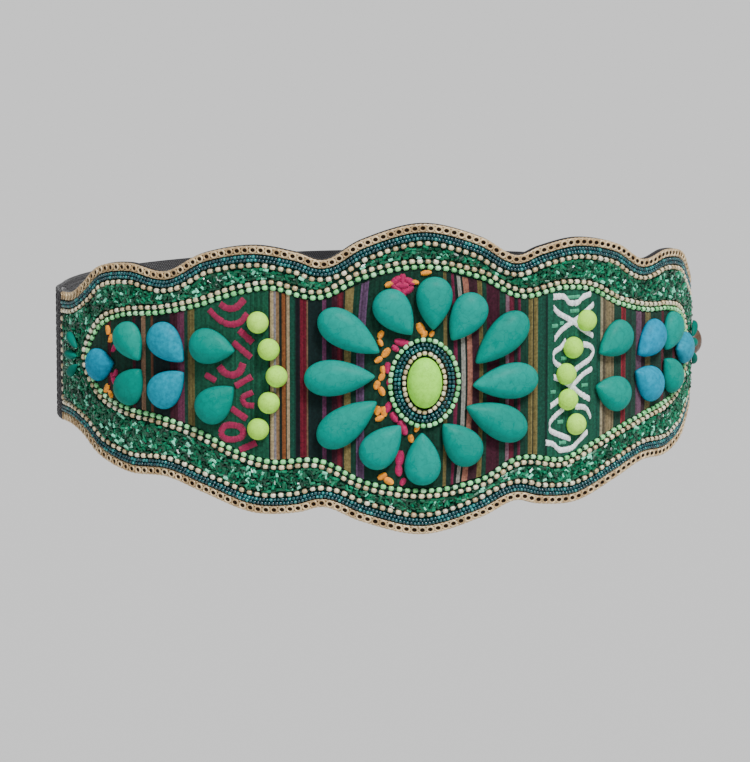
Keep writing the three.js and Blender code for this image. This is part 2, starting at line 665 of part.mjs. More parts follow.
addBacking();
addElastic();
addButton();
addEdgeRows();
addOuterGoldRow();
addGreenBand();
addFieldRows();
addCloth();
addCentre();
addWings();
addFans();

export default belt;
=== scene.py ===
"""The look of a closed beaded belt: cabochons, rows of glass beads, gold braid and embroidery on a striped
cloth, all sewn to a scalloped felt panel, with a black elastic band round the back.

Lengths are in millimetres until they are laid on the belt, which gives metres in the model's frame. The
belt is laid out flat first: s runs along the bead face from the front centre towards +X, z is the height,
and the level is the height above the inside of the belt."""
import math

import bpy
import numpy as np
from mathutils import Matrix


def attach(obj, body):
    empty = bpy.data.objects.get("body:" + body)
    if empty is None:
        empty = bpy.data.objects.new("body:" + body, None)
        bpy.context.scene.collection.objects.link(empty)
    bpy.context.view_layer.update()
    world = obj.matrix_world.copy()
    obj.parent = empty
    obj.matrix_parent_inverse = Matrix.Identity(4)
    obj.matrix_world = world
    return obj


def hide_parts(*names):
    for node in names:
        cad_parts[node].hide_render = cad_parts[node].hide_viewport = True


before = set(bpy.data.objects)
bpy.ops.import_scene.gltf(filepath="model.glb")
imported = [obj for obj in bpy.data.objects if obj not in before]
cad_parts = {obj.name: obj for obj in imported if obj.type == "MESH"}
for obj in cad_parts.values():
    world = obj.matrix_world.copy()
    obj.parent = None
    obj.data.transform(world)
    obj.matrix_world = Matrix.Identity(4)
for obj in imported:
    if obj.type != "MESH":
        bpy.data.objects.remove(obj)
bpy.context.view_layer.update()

rng = np.random.default_rng(20)

# Sizes
MM = 0.001
WAIST_WIDTH, WAIST_DEPTH = 242, 178
LAYER_GAP, CLEARANCE = 0.4, 0.3
BACKING_THICKNESS, CLOTH_THICKNESS, BEAD_HEIGHT = 2.0, 1.0, 1.9
PANEL_HALF_LENGTH, CREST_HEIGHT, FLAP_LENGTH = 164, 58.4, 11
EDGE_MARGIN, BRAID_WIDTH, TEAL_ROWS_WIDTH, ROW_WIDTH, END_MARGIN = 0.2, 3.1, 2.6, 1.8, 0.6
ELASTIC_HEIGHT, ELASTIC_THICKNESS, ELASTIC_EASE = 50, 1.4, 16
BUTTON_WIDTH, BUTTON_HEIGHT, BUTTON_DROP = 11.7, 6.0, 2.3
SHANK_WIDTH, STUD_WIDTH, STUD_THICKNESS = 3.2, 8.0, 1.3

SEWN_LEVEL = BACKING_THICKNESS + LAYER_GAP
FACE_LEVEL = SEWN_LEVEL + BEAD_HEIGHT
CLOTH_LEVEL = SEWN_LEVEL + CLOTH_THICKNESS
STONE_LEVEL = CLOTH_LEVEL + LAYER_GAP
TEAL_INSET = EDGE_MARGIN + BRAID_WIDTH + CLEARANCE
OUTER_GOLD_INSET = TEAL_INSET + TEAL_ROWS_WIDTH + CLEARANCE
GREEN_INSET = OUTER_GOLD_INSET + ROW_WIDTH + CLEARANCE
BEAD_LEVEL = SEWN_LEVEL + BEAD_HEIGHT / 2
GROUND_LEVEL = BACKING_THICKNESS + 0.02
STITCH_LEVEL = CLOTH_LEVEL + 0.02

# The scalloped edge: share of the half length, and shares of the crest height up and down
SCALLOPS = [
    (0, 1, 1), (0.14, 0.902, 0.909), (0.226, 0.776, 0.815), (0.287, 0.822, 0.851), (0.387, 0.861, 0.86),
    (0.512, 0.796, 0.745), (0.604, 0.671, 0.664), (0.707, 0.704, 0.663), (0.811, 0.654, 0.582),
    (0.872, 0.534, 0.479), (0.927, 0.454, 0.433), (1, 0.428, 0.428),
]
# The stone field's gold line: share of the half length, half height, and how far its middle is sewn above
# mid height on the left and on the right, as shares of the crest height
FIELD = [
    (0, 0.755, 0.005, 0.005), (0.14, 0.688, 0.007, -0.009), (0.238, 0.558, 0.012, -0.013),
    (0.348, 0.594, 0.034, -0.013), (0.433, 0.541, 0.044, 0.009), (0.521, 0.442, 0.058, -0.006),
    (0.622, 0.373, 0.062, -0.007), (0.713, 0.342, 0.063, 0.003), (0.793, 0.271, 0.06, 0.016),
    (0.845, 0.14, 0.047, 0), (0.869, 0, 0.043, 0),
]

# Stones: length, width, height
LONG_PETAL, SHORT_PETAL = (26.3, 13.6, 5.6), (19.8, 13.8, 5.4)
DROP, SHORT_DROP, END_DROP = (18.0, 13.4, 5.0), (16.0, 12.8, 4.8), (14.6, 12.4, 4.6)
FAN_DROP, DOT, CENTRE_STONE = (8.6, 3.8, 2.2), (8.2, 8.2, 4.2), (19.0, 13.2, 6.2)
RING_HEIGHT, GOLD_RING_WIDTH, TEAL_RING_WIDTH, MINT_RING_WIDTH, PETAL_CLEARANCE = 1.7, 1.7, 2.8, 1.8, 1.7
CENTRE, RING_ROOM_ABOVE = np.array([0.5, -0.9]), 0.4
# How slim the pointed end of a pear is, and the sides and rings of each kind of dome
PEAR_POINT = 0.8
PEAR_DETAIL, CENTRE_DETAIL, DOT_DETAIL, FAN_DETAIL = (44, 13), (56, 15), (36, 11), (24, 8)

# Beads: radius and half the length
ROW_BEAD, CENTRE_GOLD_BEAD, CENTRE_MINT_BEAD = (0.92, 0.98), (0.8, 0.82), (0.86, 0.9)
TEAL_BEAD, GREEN_BEAD = (0.68, 0.62), (0.55, 0.88)
STRINGING_THREAD = 0.24
# The steps from bead to bead
BEAD_PITCH, TEAL_PITCH, GREEN_PITCH = 3.05, 1.42, 1.26
CENTRE_GOLD_PITCH, CENTRE_TEAL_PITCH, CENTRE_MINT_PITCH = 2.15, 1.6, 2.35
# How much a strung bead is moved, lifted, turned and scaled by chance, and the turn on its own hole
ROW_CHANCE, TEAL_CHANCE, FULL_TURN = (0.05, 0.03, 0.06, 0.035), (0.04, 0.04, 0.09, 0.04), 6.28
# The green beads' range of lift, spread of tilt and range of size
GREEN_LIFT, GREEN_TILT, GREEN_SIZES = (-0.15, 0.6), 0.24, (0.85, 1.2)

# Petals: where the pointed end lies round the centre in degrees, how far out, which way it points, the cut
PETALS = [
    (171, 0.98, 182, LONG_PETAL), (145, 1.08, 147, LONG_PETAL), (105, 0.99, 127, SHORT_PETAL),
    (81, 1.05, 88, SHORT_PETAL), (57, 0.98, 56, SHORT_PETAL), (19, 1.08, 40, LONG_PETAL),
    (-5, 0.96, 3, LONG_PETAL), (-31, 0.97, -25, LONG_PETAL), (-66, 0.9, -48, SHORT_PETAL),
    (-93, 0.98, -89, SHORT_PETAL), (-120, 0.95, -132, SHORT_PETAL), (-160, 1, -144, LONG_PETAL),
]
# Drops: name, share of the half length, share of the crest height, which way it points, cut, colour
DROPS = [
    ("left_drop_1", -0.428, 0.185, 173, DROP, "teal_stone"),
    ("left_drop_2", -0.432, -0.048, 222, DROP, "teal_stone"),
    ("left_drop_3", -0.553, 0.1, 138, DROP, "blue_stone"),
    ("left_drop_4", -0.553, 0.029, 222, DROP, "blue_stone"),
    ("left_drop_5", -0.669, 0.083, 127, SHORT_DROP, "teal_stone"),
    ("left_drop_6", -0.667, 0.024, 232, SHORT_DROP, "teal_stone"),
    ("left_end_drop", -0.748, 0.044, 190, END_DROP, "blue_stone"),
    ("right_drop_1", 0.447, 0.096, 27, DROP, "teal_stone"),
    ("right_drop_2", 0.438, -0.117, -20, DROP, "teal_stone"),
    ("right_drop_3", 0.576, 0.048, 32, DROP, "blue_stone"),
    ("right_drop_4", 0.568, -0.06, -31, DROP, "blue_stone"),
    ("right_drop_5", 0.69, 0.043, 52, SHORT_DROP, "teal_stone"),
    ("right_drop_6", 0.689, -0.021, -49, SHORT_DROP, "teal_stone"),
    ("right_end_drop", 0.75, 0.021, -3, END_DROP, "blue_stone"),
]
# Columns of round stones: name, share along, share up, bow, power of the bow, pitch, lean
DOT_COLUMNS = [
    ("left_dot", -0.332, 0.03, -0.043, 1.25, -0.171, 0),
    ("right_dot", 0.353, -0.015, 0.043, 1.8, -0.167, -0.007),
]
DOTS_EACH_SIDE = 2
FAN_TURNS, FAN_GAP, FAN_SPREAD = (36, 0, -34), 1.6, 2.2


# The belt's surface
def unit(vectors):
    return vectors / np.linalg.norm(vectors, axis=-1, keepdims=True)


def circle(count):
    """Evenly spaced angles of a full turn."""
    return np.arange(count) / count * 2 * math.pi


def lengths(line):
    """How far along the line each of its points lies."""
    return np.r_[0, np.cumsum(np.linalg.norm(np.diff(line, axis=0), axis=1))]


HALF_WIDTH, HALF_DEPTH = WAIST_WIDTH / 2 + FACE_LEVEL, WAIST_DEPTH / 2 + FACE_LEVEL
face_turns = np.linspace(-math.pi / 2, 1.5 * math.pi, 2001)
face_run = lengths(np.c_[HALF_WIDTH * np.cos(face_turns), HALF_DEPTH * np.sin(face_turns)])
GIRTH = face_run[-1]


def station(s):
    """The bead face at lengths s along the belt: points, outward directions and forward directions.
    The face is an ellipse, and s is turned into the ellipse's angle through its measured arc length."""
    t = np.interp(np.mod(s, GIRTH), face_run, face_turns)
    zero = np.zeros_like(t)
    point = np.stack([HALF_WIDTH * np.cos(t), HALF_DEPTH * np.sin(t), zero], -1)
    out = unit(np.stack([np.cos(t) / HALF_WIDTH, np.sin(t) / HALF_DEPTH, zero], -1))
    forward = np.stack([-out[..., 1], out[..., 0], zero], -1)
    return point, out, forward


def wrap(s, z, level):
    """Flat points laid on the belt, in metres: the face point, moved out by the level and up by z."""
    s, z, level = np.broadcast_arrays(*(np.asarray(a, float) for a in (s, z, level)))
    point, out, _ = station(s)
    place = point + out * (level - FACE_LEVEL)[..., None]
    place[..., 2] += z
    return place * MM


def seat(shape, s, z, level, turn=0.0, tilt=0.0, roll=0.0, size=1.0):
    """Copies of a small shape, one for each s. Its x runs along `turn` in the belt's face, its y across
    and its z out of the belt. `roll` turns it about its own x first, and `tilt` then lifts its x end
    outwards."""
    s, z, level, turn, tilt, roll, size = (
        np.asarray(a, float)[:, None] for a in np.broadcast_arrays(
            np.atleast_1d(s), z, level, turn, tilt, roll, size)
    )
    x, y, h = (shape[None, :, k] * size for k in range(3))
    y, h = y * np.cos(roll) - h * np.sin(roll), y * np.sin(roll) + h * np.cos(roll)
    x, h = x * np.cos(tilt) - h * np.sin(tilt), x * np.sin(tilt) + h * np.cos(tilt)
    point, out, forward = station(s)
    up = np.array([0.0, 0.0, 1.0])
    lengthways = forward * np.cos(turn)[..., None] + up * np.sin(turn)[..., None]
    crossways = np.cross(out, lengthways)
    origin = point + out * (level - FACE_LEVEL)[..., None] + up * z[..., None]
    place = origin + lengthways * x[..., None] + crossways * y[..., None] + out * h[..., None]
    return place * MM


# Lines of the flat pattern
def catmull(points, closed, steps=24):
    """A centripetal Catmull-Rom curve: between two points it is the cubic whose end slopes come from the
    neighbours, weighted by the square root of the distances."""
    p = np.asarray(points, float)
    if closed:
        p0, p1, p2, p3 = (np.roll(p, shift, 0) for shift in (1, 0, -1, -2))
    else:
        whole = np.vstack([2 * p[0] - p[1], p, 2 * p[-1] - p[-2]])
        p0, p1, p2, p3 = (whole[first : first + len(p) - 1] for first in range(4))

    def gap(a, b):
        return np.sqrt(np.linalg.norm(b - a, axis=1))[:, None]

    d0, d1, d2 = gap(p0, p1), gap(p1, p2), gap(p2, p3)
    t1 = ((p1 - p0) / d0 - (p2 - p0) / (d0 + d1) + (p2 - p1) / d1) * d1
    t2 = ((p2 - p1) / d1 - (p3 - p1) / (d1 + d2) + (p3 - p2) / d2) * d1
    w = (np.arange(steps) / steps)[None, :, None]
    a, b, c, d = (m[:, None, :] for m in (p1, t1, 3 * (p2 - p1) - 2 * t1 - t2, 2 * (p1 - p2) + t1 + t2))
    line = (a + b * w + c * w**2 + d * w**3).reshape(-1, 2)
    return line if closed else np.vstack([line, p[-1]])


def ring_closed(line):
    return np.vstack([line, line[:1]])


def evenly(line, step, closed=False):
    """Points on a line at about one step from each other, and the line's direction at each."""
    look = 0.3
    whole = ring_closed(line) if closed else line
    run = lengths(whole)
    count = max(2, round(run[-1] / step))
    at = np.arange(count) / count * run[-1] if closed else np.linspace(0, run[-1], count + 1)

    def point(where):
        where = where % run[-1] if closed else np.clip(where, 0, run[-1])
        return np.stack([np.interp(where, run, column) for column in whole.T], 1)

    way = point(at + look) - point(at - look)
    return point(at), np.arctan2(way[:, 1], way[:, 0])


def parallel(line, distance, closed=False):
    """The line moved to its left by a distance, square to its direction at each point."""
    ahead, behind = np.roll(line, -1, 0), np.roll(line, 1, 0)
    if not closed:
        ahead[-1], behind[0] = line[-1], line[0]
    way = unit(ahead - behind)
    return line + distance * np.c_[-way[:, 1], way[:, 0]]


def both_sides(rows, height):
    """A table's points from left to right. height gives each row's share of the crest height."""
    left = [(-r[0] * PANEL_HALF_LENGTH, height(r, "left") * CREST_HEIGHT) for r in rows[:0:-1]]
    return left + [(r[0] * PANEL_HALF_LENGTH, height(r, "right") * CREST_HEIGHT) for r in rows]


def resampled(line, s):
    return np.c_[s, np.interp(s, line[:, 0], line[:, 1])]


edge_top = catmull(both_sides(SCALLOPS, lambda r, side: r[1]), False)
edge_bottom = catmull(both_sides(SCALLOPS, lambda r, side: -r[2]), False)
# Each edge, and the sign of a step to its left that leads into the panel
EDGES = {"top": (edge_top, -1), "bottom": (edge_bottom, 1)}
MIDDLE_COLUMN = {"left": 2, "right": 3}
field_line = catmull(
    both_sides(FIELD, lambda r, side: r[MIDDLE_COLUMN[side]] + r[1])
    + both_sides(FIELD[:-1], lambda r, side: r[MIDDLE_COLUMN[side]] - r[1])[::-1],
    True,
)
field_tip = {-1: field_line[np.argmin(field_line[:, 0])], 1: field_line[np.argmax(field_line[:, 0])]}


def inset_loop(inset, end_inset):
    """The panel's edge moved in, and cut off square at the two ends."""
    lines = []
    for edge, inwards in EDGES.values():
        line = parallel(edge, inwards * inset)
        end = PANEL_HALF_LENGTH - end_inset
        s = np.r_[-end, line[np.abs(line[:, 0]) < end, 0], end]
        lines.append(resampled(line, s))
    return np.vstack([lines[0], lines[1][::-1]])


# Meshes
def quads_between(rings, size, closed_rings, closed_size=True):
    """Four-sided faces between neighbouring rings of `size` points each."""
    i = np.arange(rings if closed_rings else rings - 1)[:, None]
    j = np.arange(size if closed_size else size - 1)[None, :]
    k, m = (i + 1) % rings, (j + 1) % size
    return np.stack([i * size + j, i * size + m, k * size + m, k * size + j], -1).reshape(-1, 4)


def tube_faces(rings, size, inside_out=False):
    """The wall and the two end faces of a tube made of rings of `size` points each."""
    first = np.arange(size)[None]
    faces = [quads_between(rings, size, False), first[:, ::-1], first + (rings - 1) * size]
    return [f[:, ::-1] for f in faces] if inside_out else faces


def many(faces, points_each, copies):
    """The faces of one shape repeated for each copy of its points."""
    return (faces[None] + (np.arange(copies) * points_each)[:, None, None]).reshape(-1, faces.shape[1])


def make(name, verts, faces, slot, finish=None, replaces=None, colour=None, face_colour=None, uv=None,
         smooth=True):
    """A mesh object from whole arrays. faces is one array or a list of arrays, each with its own number of
    corners. colour is one for each vertex, face_colour one for each face, uv one pair for each vertex. The
    finish is the material's name where it isn't the slot's."""
    faces = faces if isinstance(faces, list) else [faces]
    verts = np.ascontiguousarray(verts.reshape(-1, 3), np.float32)
    corners = np.concatenate([f.ravel() for f in faces]).astype(np.int32)
    sizes = np.concatenate([np.full(len(f), f.shape[1]) for f in faces]).astype(np.int32)
    mesh = bpy.data.meshes.new(name)
    mesh.vertices.add(len(verts))
    mesh.vertices.foreach_set("co", verts.ravel())
    mesh.loops.add(len(corners))
    mesh.loops.foreach_set("vertex_index", corners)
    mesh.polygons.add(len(sizes))
    mesh.polygons.foreach_set("loop_start", np.r_[0, np.cumsum(sizes)[:-1]].astype(np.int32))
    mesh.polygons.foreach_set("use_smooth", np.full(len(sizes), smooth))
    corner_colour = None if face_colour is None else np.repeat(face_colour, sizes, axis=0)
    for domain, shades in (("POINT", colour), ("CORNER", corner_colour)):
        if shades is not None:
            layer = mesh.color_attributes.new("Col", "FLOAT_COLOR", domain)
            shades = np.c_[shades, np.ones(len(shades))].astype(np.float32)
            layer.data.foreach_set("color", shades.ravel())
    if uv is not None:
        layer = mesh.uv_layers.new(name="Flat")
        layer.data.foreach_set("uv", np.ascontiguousarray(uv[corners], np.float32).ravel())
    mesh.update(calc_edges=True)
    mesh.validate()
    mesh.materials.append(MAT[finish or slot])
    piece = bpy.data.objects.new(name, mesh)
    bpy.context.scene.collection.objects.link(piece)
    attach(piece, "root")
    if replaces:
        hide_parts(replaces)
    return piece


def turned(profile, sides, closed):
    """A profile of (x, radius) pairs turned about x. If `closed`, its last ring joins its first."""
    profile = np.asarray(profile, float)
    a = circle(sides)
    ring = np.stack([np.zeros(sides), np.cos(a), np.sin(a)], 1)
    pts = profile[:, None, 1:2] * ring[None] + np.array([1.0, 0, 0]) * profile[:, None, 0:1]
    return pts.reshape(-1, 3), quads_between(len(profile), sides, closed)


def drilled_bead(radius, half, sides=10):
    """A seed bead: a rounded barrel with a hole along x."""
    side = [(0.8, 0.34), (1, 0.62), (0.62, 0.93)]
    profile = [(-x, r) for x, r in side] + [(0, 1)] + [(x, r) for x, r in side[::-1]]
    return turned([(x * half, r * radius) for x, r in profile], sides, True)


def cut_bead(radius, half):
    """A short cut bead: a tube with six flat sides and a hole from end to end."""
    profile = [(-half, 0.42 * radius), (-half, radius), (half, radius), (half, 0.42 * radius)]
    return turned(profile, 6, True)


def srgb(*rgb):
    c = np.asarray(rgb, float) / 255
    return np.where(c <= 0.04045, c / 12.92, ((c + 0.055) / 1.055) ** 2.4)


def tints(count, shades, shares):
    """A colour for each copy, picked from a few shades and made a little lighter or darker."""
    pick = rng.choice(len(shades), count, p=shares)
    return np.clip(srgb(*shades)[pick] * (1 + 0.08 * rng.standard_normal((count, 1))), 0, 1)


def spread_shade(shade, copies, points_each):
    """One shade for each copy, a little lighter or darker by chance, repeated for the copy's points."""
    shades = np.tile(srgb(*shade), (copies, 1)) * (1 + 0.1 * rng.standard_normal((copies, 1)))
    return np.repeat(np.clip(shades, 0, 1), points_each, axis=0)


def one_shade(shade, verts):
    return np.tile(srgb(*shade), (len(verts), 1))


def tubes(s, z, level, radius, sides, ply=0.0, lay=0.0):
    """Threads along paths of the flat pattern, one path in each row of s, z and level. Rings of points
    stand square to the path. With ply, the section has two lobes that turn by `lay` radians a millimetre,
    as two twisted strands do."""
    pts = wrap(s, z, level) / MM
    way = unit(np.gradient(pts, axis=1))
    side = unit(np.cross(way, station(s)[1]))
    rise = np.cross(side, way)
    a = circle(sides)
    steps = np.linalg.norm(np.diff(pts, axis=1), axis=2)
    run = np.cumsum(np.pad(steps, ((0, 0), (1, 0))), axis=1)[..., None]
    r = radius * (1 + ply * np.cos(2 * (a - lay * run)))
    ring = side[..., None, :] * np.cos(a)[:, None] + rise[..., None, :] * np.sin(a)[:, None]
    verts = (pts[..., None, :] + ring * r[..., None]) * MM
    paths, count = pts.shape[:2]
    return verts.reshape(-1, 3), many(quads_between(count, sides, False), count * sides, paths)


def rope(path, level, radius, sides, ply=0.0, lay=0.0):
    s, z = path.T[:, None]
    return tubes(s, z, level, radius, sides, ply, lay)


def stitches(a, b, level, bulge, radius, steps=5):
    """Threads from flat points a to flat points b. Each rises off the cloth as half a sine wave and goes
    back in at its end: level + bulge * sin(pi t)."""
    t = np.linspace(0, 1, steps)
    s, z = (a[:, None, k] * (1 - t) + b[:, None, k] * t for k in (0, 1))
    return tubes(s, z, level + bulge * np.sin(math.pi * t), radius, 5)


# Materials
def group(name, inputs, outputs):
    tree = bpy.data.node_groups.new(name, "ShaderNodeTree")
    for label, kind, value in inputs:
        socket = tree.interface.new_socket(label, in_out="INPUT", socket_type=kind)
        if value is not None:
            socket.default_value = value
    for label, kind in outputs:
        tree.interface.new_socket(label, in_out="OUTPUT", socket_type=kind)
    return tree, tree.nodes.new("NodeGroupInput"), tree.nodes.new("NodeGroupOutput")


def node(tree, kind, links=None, **settings):
    """A new node. A setting that starts with in_ goes to the input of that name or number."""
    made = tree.nodes.new(kind)
    for key, value in settings.items():
        if key.startswith("in_"):
            socket = key[3:].replace("_", " ")
            made.inputs[int(socket) if socket.isdigit() else socket].default_value = value
        else:
            setattr(made, key, value)
    for key, source in (links or {}).items():
        tree.links.new(source, made.inputs[key])
    return made


def effect(tree, name, links=None, **settings):
    return node(tree, "ShaderNodeGroup", links, node_tree=bpy.data.node_groups[name], **settings)


def make_mottle():
    """Mottling darkens and lightens a colour in patches."""
    tree, given, result = group(
        "Mottle",
        [("Color", "NodeSocketColor", None), ("Scale", "NodeSocketFloat", 300.0),
         ("Dark", "NodeSocketFloat", 0.7), ("Light", "NodeSocketFloat", 1.2)],
        [("Color", "NodeSocketColor"), ("Height", "NodeSocketFloat")],
    )
    given = given.outputs
    at = node(tree, "ShaderNodeTexCoord").outputs["Object"]
    noise = node(tree, "ShaderNodeTexNoise", {"Vector": at, "Scale": given["Scale"]},
                 in_Detail=5.0, in_Roughness=0.6)
    shade = node(tree, "ShaderNodeMapRange", {"Value": noise.outputs["Fac"], 3: given["Dark"],
                                              4: given["Light"]}, in_1=0.32, in_2=0.68)
    scaled = node(tree, "ShaderNodeVectorMath", {0: given["Color"], "Scale": shade.outputs["Result"]},
                  operation="SCALE")
    tree.links.new(scaled.outputs["Vector"], result.inputs["Color"])
    tree.links.new(noise.outputs["Fac"], result.inputs["Height"])


def make_weave():
    """Crossed threads: the height is one sine wave along the belt times another up it."""
    tree, given, result = group(
        "Weave",
        [("Along", "NodeSocketFloat", 0.55), ("Up", "NodeSocketFloat", 0.4)],
        [("Height", "NodeSocketFloat")],
    )
    flat = node(tree, "ShaderNodeUVMap", uv_map="Flat")
    parts = node(tree, "ShaderNodeSeparateXYZ", {0: flat.outputs["UV"]})
    waves = []
    for axis, pitch in (("X", "Along"), ("Y", "Up")):
        turns = node(tree, "ShaderNodeMath", {0: parts.outputs[axis], 1: given.outputs[pitch]},
                     operation="DIVIDE")
        angle = node(tree, "ShaderNodeMath", {0: turns.outputs[0]}, operation="MULTIPLY", in_1=2 * math.pi)
        waves.append(node(tree, "ShaderNodeMath", {0: angle.outputs[0]}, operation="SINE").outputs[0])
    both = node(tree, "ShaderNodeMath", dict(enumerate(waves)), operation="MULTIPLY")
    tree.links.new(both.outputs[0], result.inputs["Height"])


def bump(tree, shader, height, strength, distance):
    made = node(tree, "ShaderNodeBump", {"Height": height}, in_Strength=strength, in_Distance=distance)
    tree.links.new(made.outputs["Normal"], shader.inputs["Normal"])


def surface(name, **sockets):
    material = bpy.data.materials.new(name)
    material.use_nodes = True
    shader = material.node_tree.nodes["Principled BSDF"]
    for key, value in sockets.items():
        shader.inputs[key.replace("_", " ")].default_value = value
    return material, material.node_tree, shader


def mottled(name, scale, dark, light, rgb=None, relief=None, weave=None, **sockets):
    """A material with a mottled base colour: its own, or else the colour that each mesh brings. relief is
    the strength and depth in metres of a bump, which follows the mottling, or a weave with the given
    pitches along and up the belt."""
    material, tree, shader = surface(name, **sockets)
    colour = {"in_Color": (*srgb(*rgb), 1)} if rgb else {}
    brought = None if rgb else node(tree, "ShaderNodeAttribute", attribute_name="Col").outputs["Color"]
    links = {} if rgb else {"Color": brought}
    patches = effect(tree, "Mottle", links, in_Scale=scale, in_Dark=dark, in_Light=light, **colour)
    tree.links.new(patches.outputs["Color"], shader.inputs["Base Color"])
    if weave:
        threads = effect(tree, "Weave", in_Along=weave[0], in_Up=weave[1])
        bump(tree, shader, threads.outputs["Height"], *relief)
    elif relief:
        bump(tree, shader, patches.outputs["Height"], *relief)
    return material


def glass_beads(name, roughness, coat, specular=0.6):
    """Opaque glass beads: the colour of each bead, under a clear glossy skin."""
    return mottled(name, 900.0, 0.8, 1.15, Roughness=roughness, Coat_Weight=coat, Coat_Roughness=0.08,
                   Specular_IOR_Level=specular)


def gold(name, metallic, roughness):
    return mottled(name, 700.0, 0.75, 1.15, Roughness=roughness, Metallic=metallic, Coat_Weight=0.35,
                   Coat_Roughness=0.12)


def stone(name, roughness, mottle, veins, vein_scale, vein_shade):
    """A satin cabochon: its colour drifts in soft patches, and fine darker veins run along the edges of
    bent Voronoi cells."""
    material = mottled(name, *mottle, relief=(0.25, 0.0002), Roughness=roughness, Specular_IOR_Level=0.05)
    tree = material.node_tree
    base = tree.nodes["Principled BSDF"].inputs["Base Color"]
    patches = base.links[0].from_socket
    at = node(tree, "ShaderNodeTexCoord").outputs["Object"]
    drift = node(tree, "ShaderNodeTexNoise", {"Vector": at}, in_Scale=vein_scale * 0.8, in_Detail=3.0)
    moved = node(tree, "ShaderNodeVectorMath", {0: drift.outputs["Color"]}, operation="SCALE",
                 in_Scale=0.006)
    bent = node(tree, "ShaderNodeVectorMath", {0: at, 1: moved.outputs["Vector"]}, operation="ADD")
    cells = node(tree, "ShaderNodeTexVoronoi", {"Vector": bent.outputs["Vector"]}, in_Scale=vein_scale,
                 feature="DISTANCE_TO_EDGE")
    line = node(tree, "ShaderNodeMapRange", {"Value": cells.outputs["Distance"]}, in_1=0.0, in_2=0.06,
                in_3=veins, in_4=0.0)
    veined = node(tree, "ShaderNodeMix", {0: line.outputs["Result"], 6: patches},
                  data_type="RGBA", blend_type="MULTIPLY", in_7=(*vein_shade, 1))
    tree.links.new(veined.outputs[2], base)
    return material


def turned_wood(name):
    material, tree, shader = surface(name, Roughness=0.42, Coat_Weight=0.25, Coat_Roughness=0.3)
    at = node(tree, "ShaderNodeTexCoord").outputs["Object"]
    drawn_out = node(tree, "ShaderNodeMapping", {"Vector": at}, in_Scale=(1.0, 1.0, 5.0))
    grain = node(tree, "ShaderNodeTexNoise", {"Vector": drawn_out.outputs["Vector"]}, in_Scale=420.0,
                 in_Detail=6.0, in_Roughness=0.7)
    ramp = node(tree, "ShaderNodeValToRGB", {"Fac": grain.outputs["Fac"]})
    stops = ((0.35, (56, 38, 28)), (0.7, (116, 84, 62)))
    for stop, (position, rgb) in zip(ramp.color_ramp.elements, stops):
        stop.position = position
        stop.color = (*srgb(*rgb), 1)
    tree.links.new(ramp.outputs["Color"], shader.inputs["Base Color"])
    bump(tree, shader, grain.outputs["Fac"], 0.3, 0.0002)
    return material


make_mottle()
make_weave()
MAT = {
    "teal_bead": glass_beads("teal glass", 0.28, 0.3),
    "mint_bead": glass_beads("mint glass", 0.32, 0.3),
    "green_bead": glass_beads("green glass", 0.22, 0.15, 0.4),
    "gold_bead": gold("champagne beads", 0.15, 0.32),
    "gold_braid": gold("gold thread", 0.2, 0.5),
    "teal_stone": stone("teal stone", 0.42, (380.0, 0.88, 1.07), 0.4, 300.0, (0.5, 0.6, 0.6)),
    "blue_stone": stone("blue stone", 0.42, (620.0, 0.78, 1.2), 0.4, 340.0, (0.5, 0.62, 0.7)),
    "lime_stone": stone("lime stone", 0.38, (420.0, 0.84, 1.08), 0.5, 420.0, (0.62, 0.66, 0.5)),
    "thread": mottled("embroidery thread", 1500.0, 0.7, 1.25, Roughness=0.55, Sheen_Weight=0.2,
                      Specular_IOR_Level=0.35),
    "striped_cloth": mottled("striped cloth", 1100.0, 0.56, 1.2, relief=(0.8, 0.00012), weave=(0.5, 0.42),
                             Roughness=0.85, Sheen_Weight=0.06, Specular_IOR_Level=0.12),
    "black_elastic": mottled("black elastic", 900.0, 0.65, 1.5, (32, 30, 34), relief=(0.9, 0.00025),
                             weave=(0.9, 1.3), Roughness=0.75, Sheen_Weight=0.25, Specular_IOR_Level=0.25),
    "brown_button": turned_wood("turned wood"),
}
for key, name, rgb in (("black_felt", "black felt", (30, 28, 32)),
                       ("ground", "dark sewing ground", (12, 50, 40)),
                       ("tape", "brown braid ground", (50, 36, 26))):
    MAT[key] = mottled(name, 1400.0, 0.6, 1.6, rgb, relief=(0.7, 0.0003), Roughness=0.95, Sheen_Weight=0.3,
                       Specular_IOR_Level=0.15)


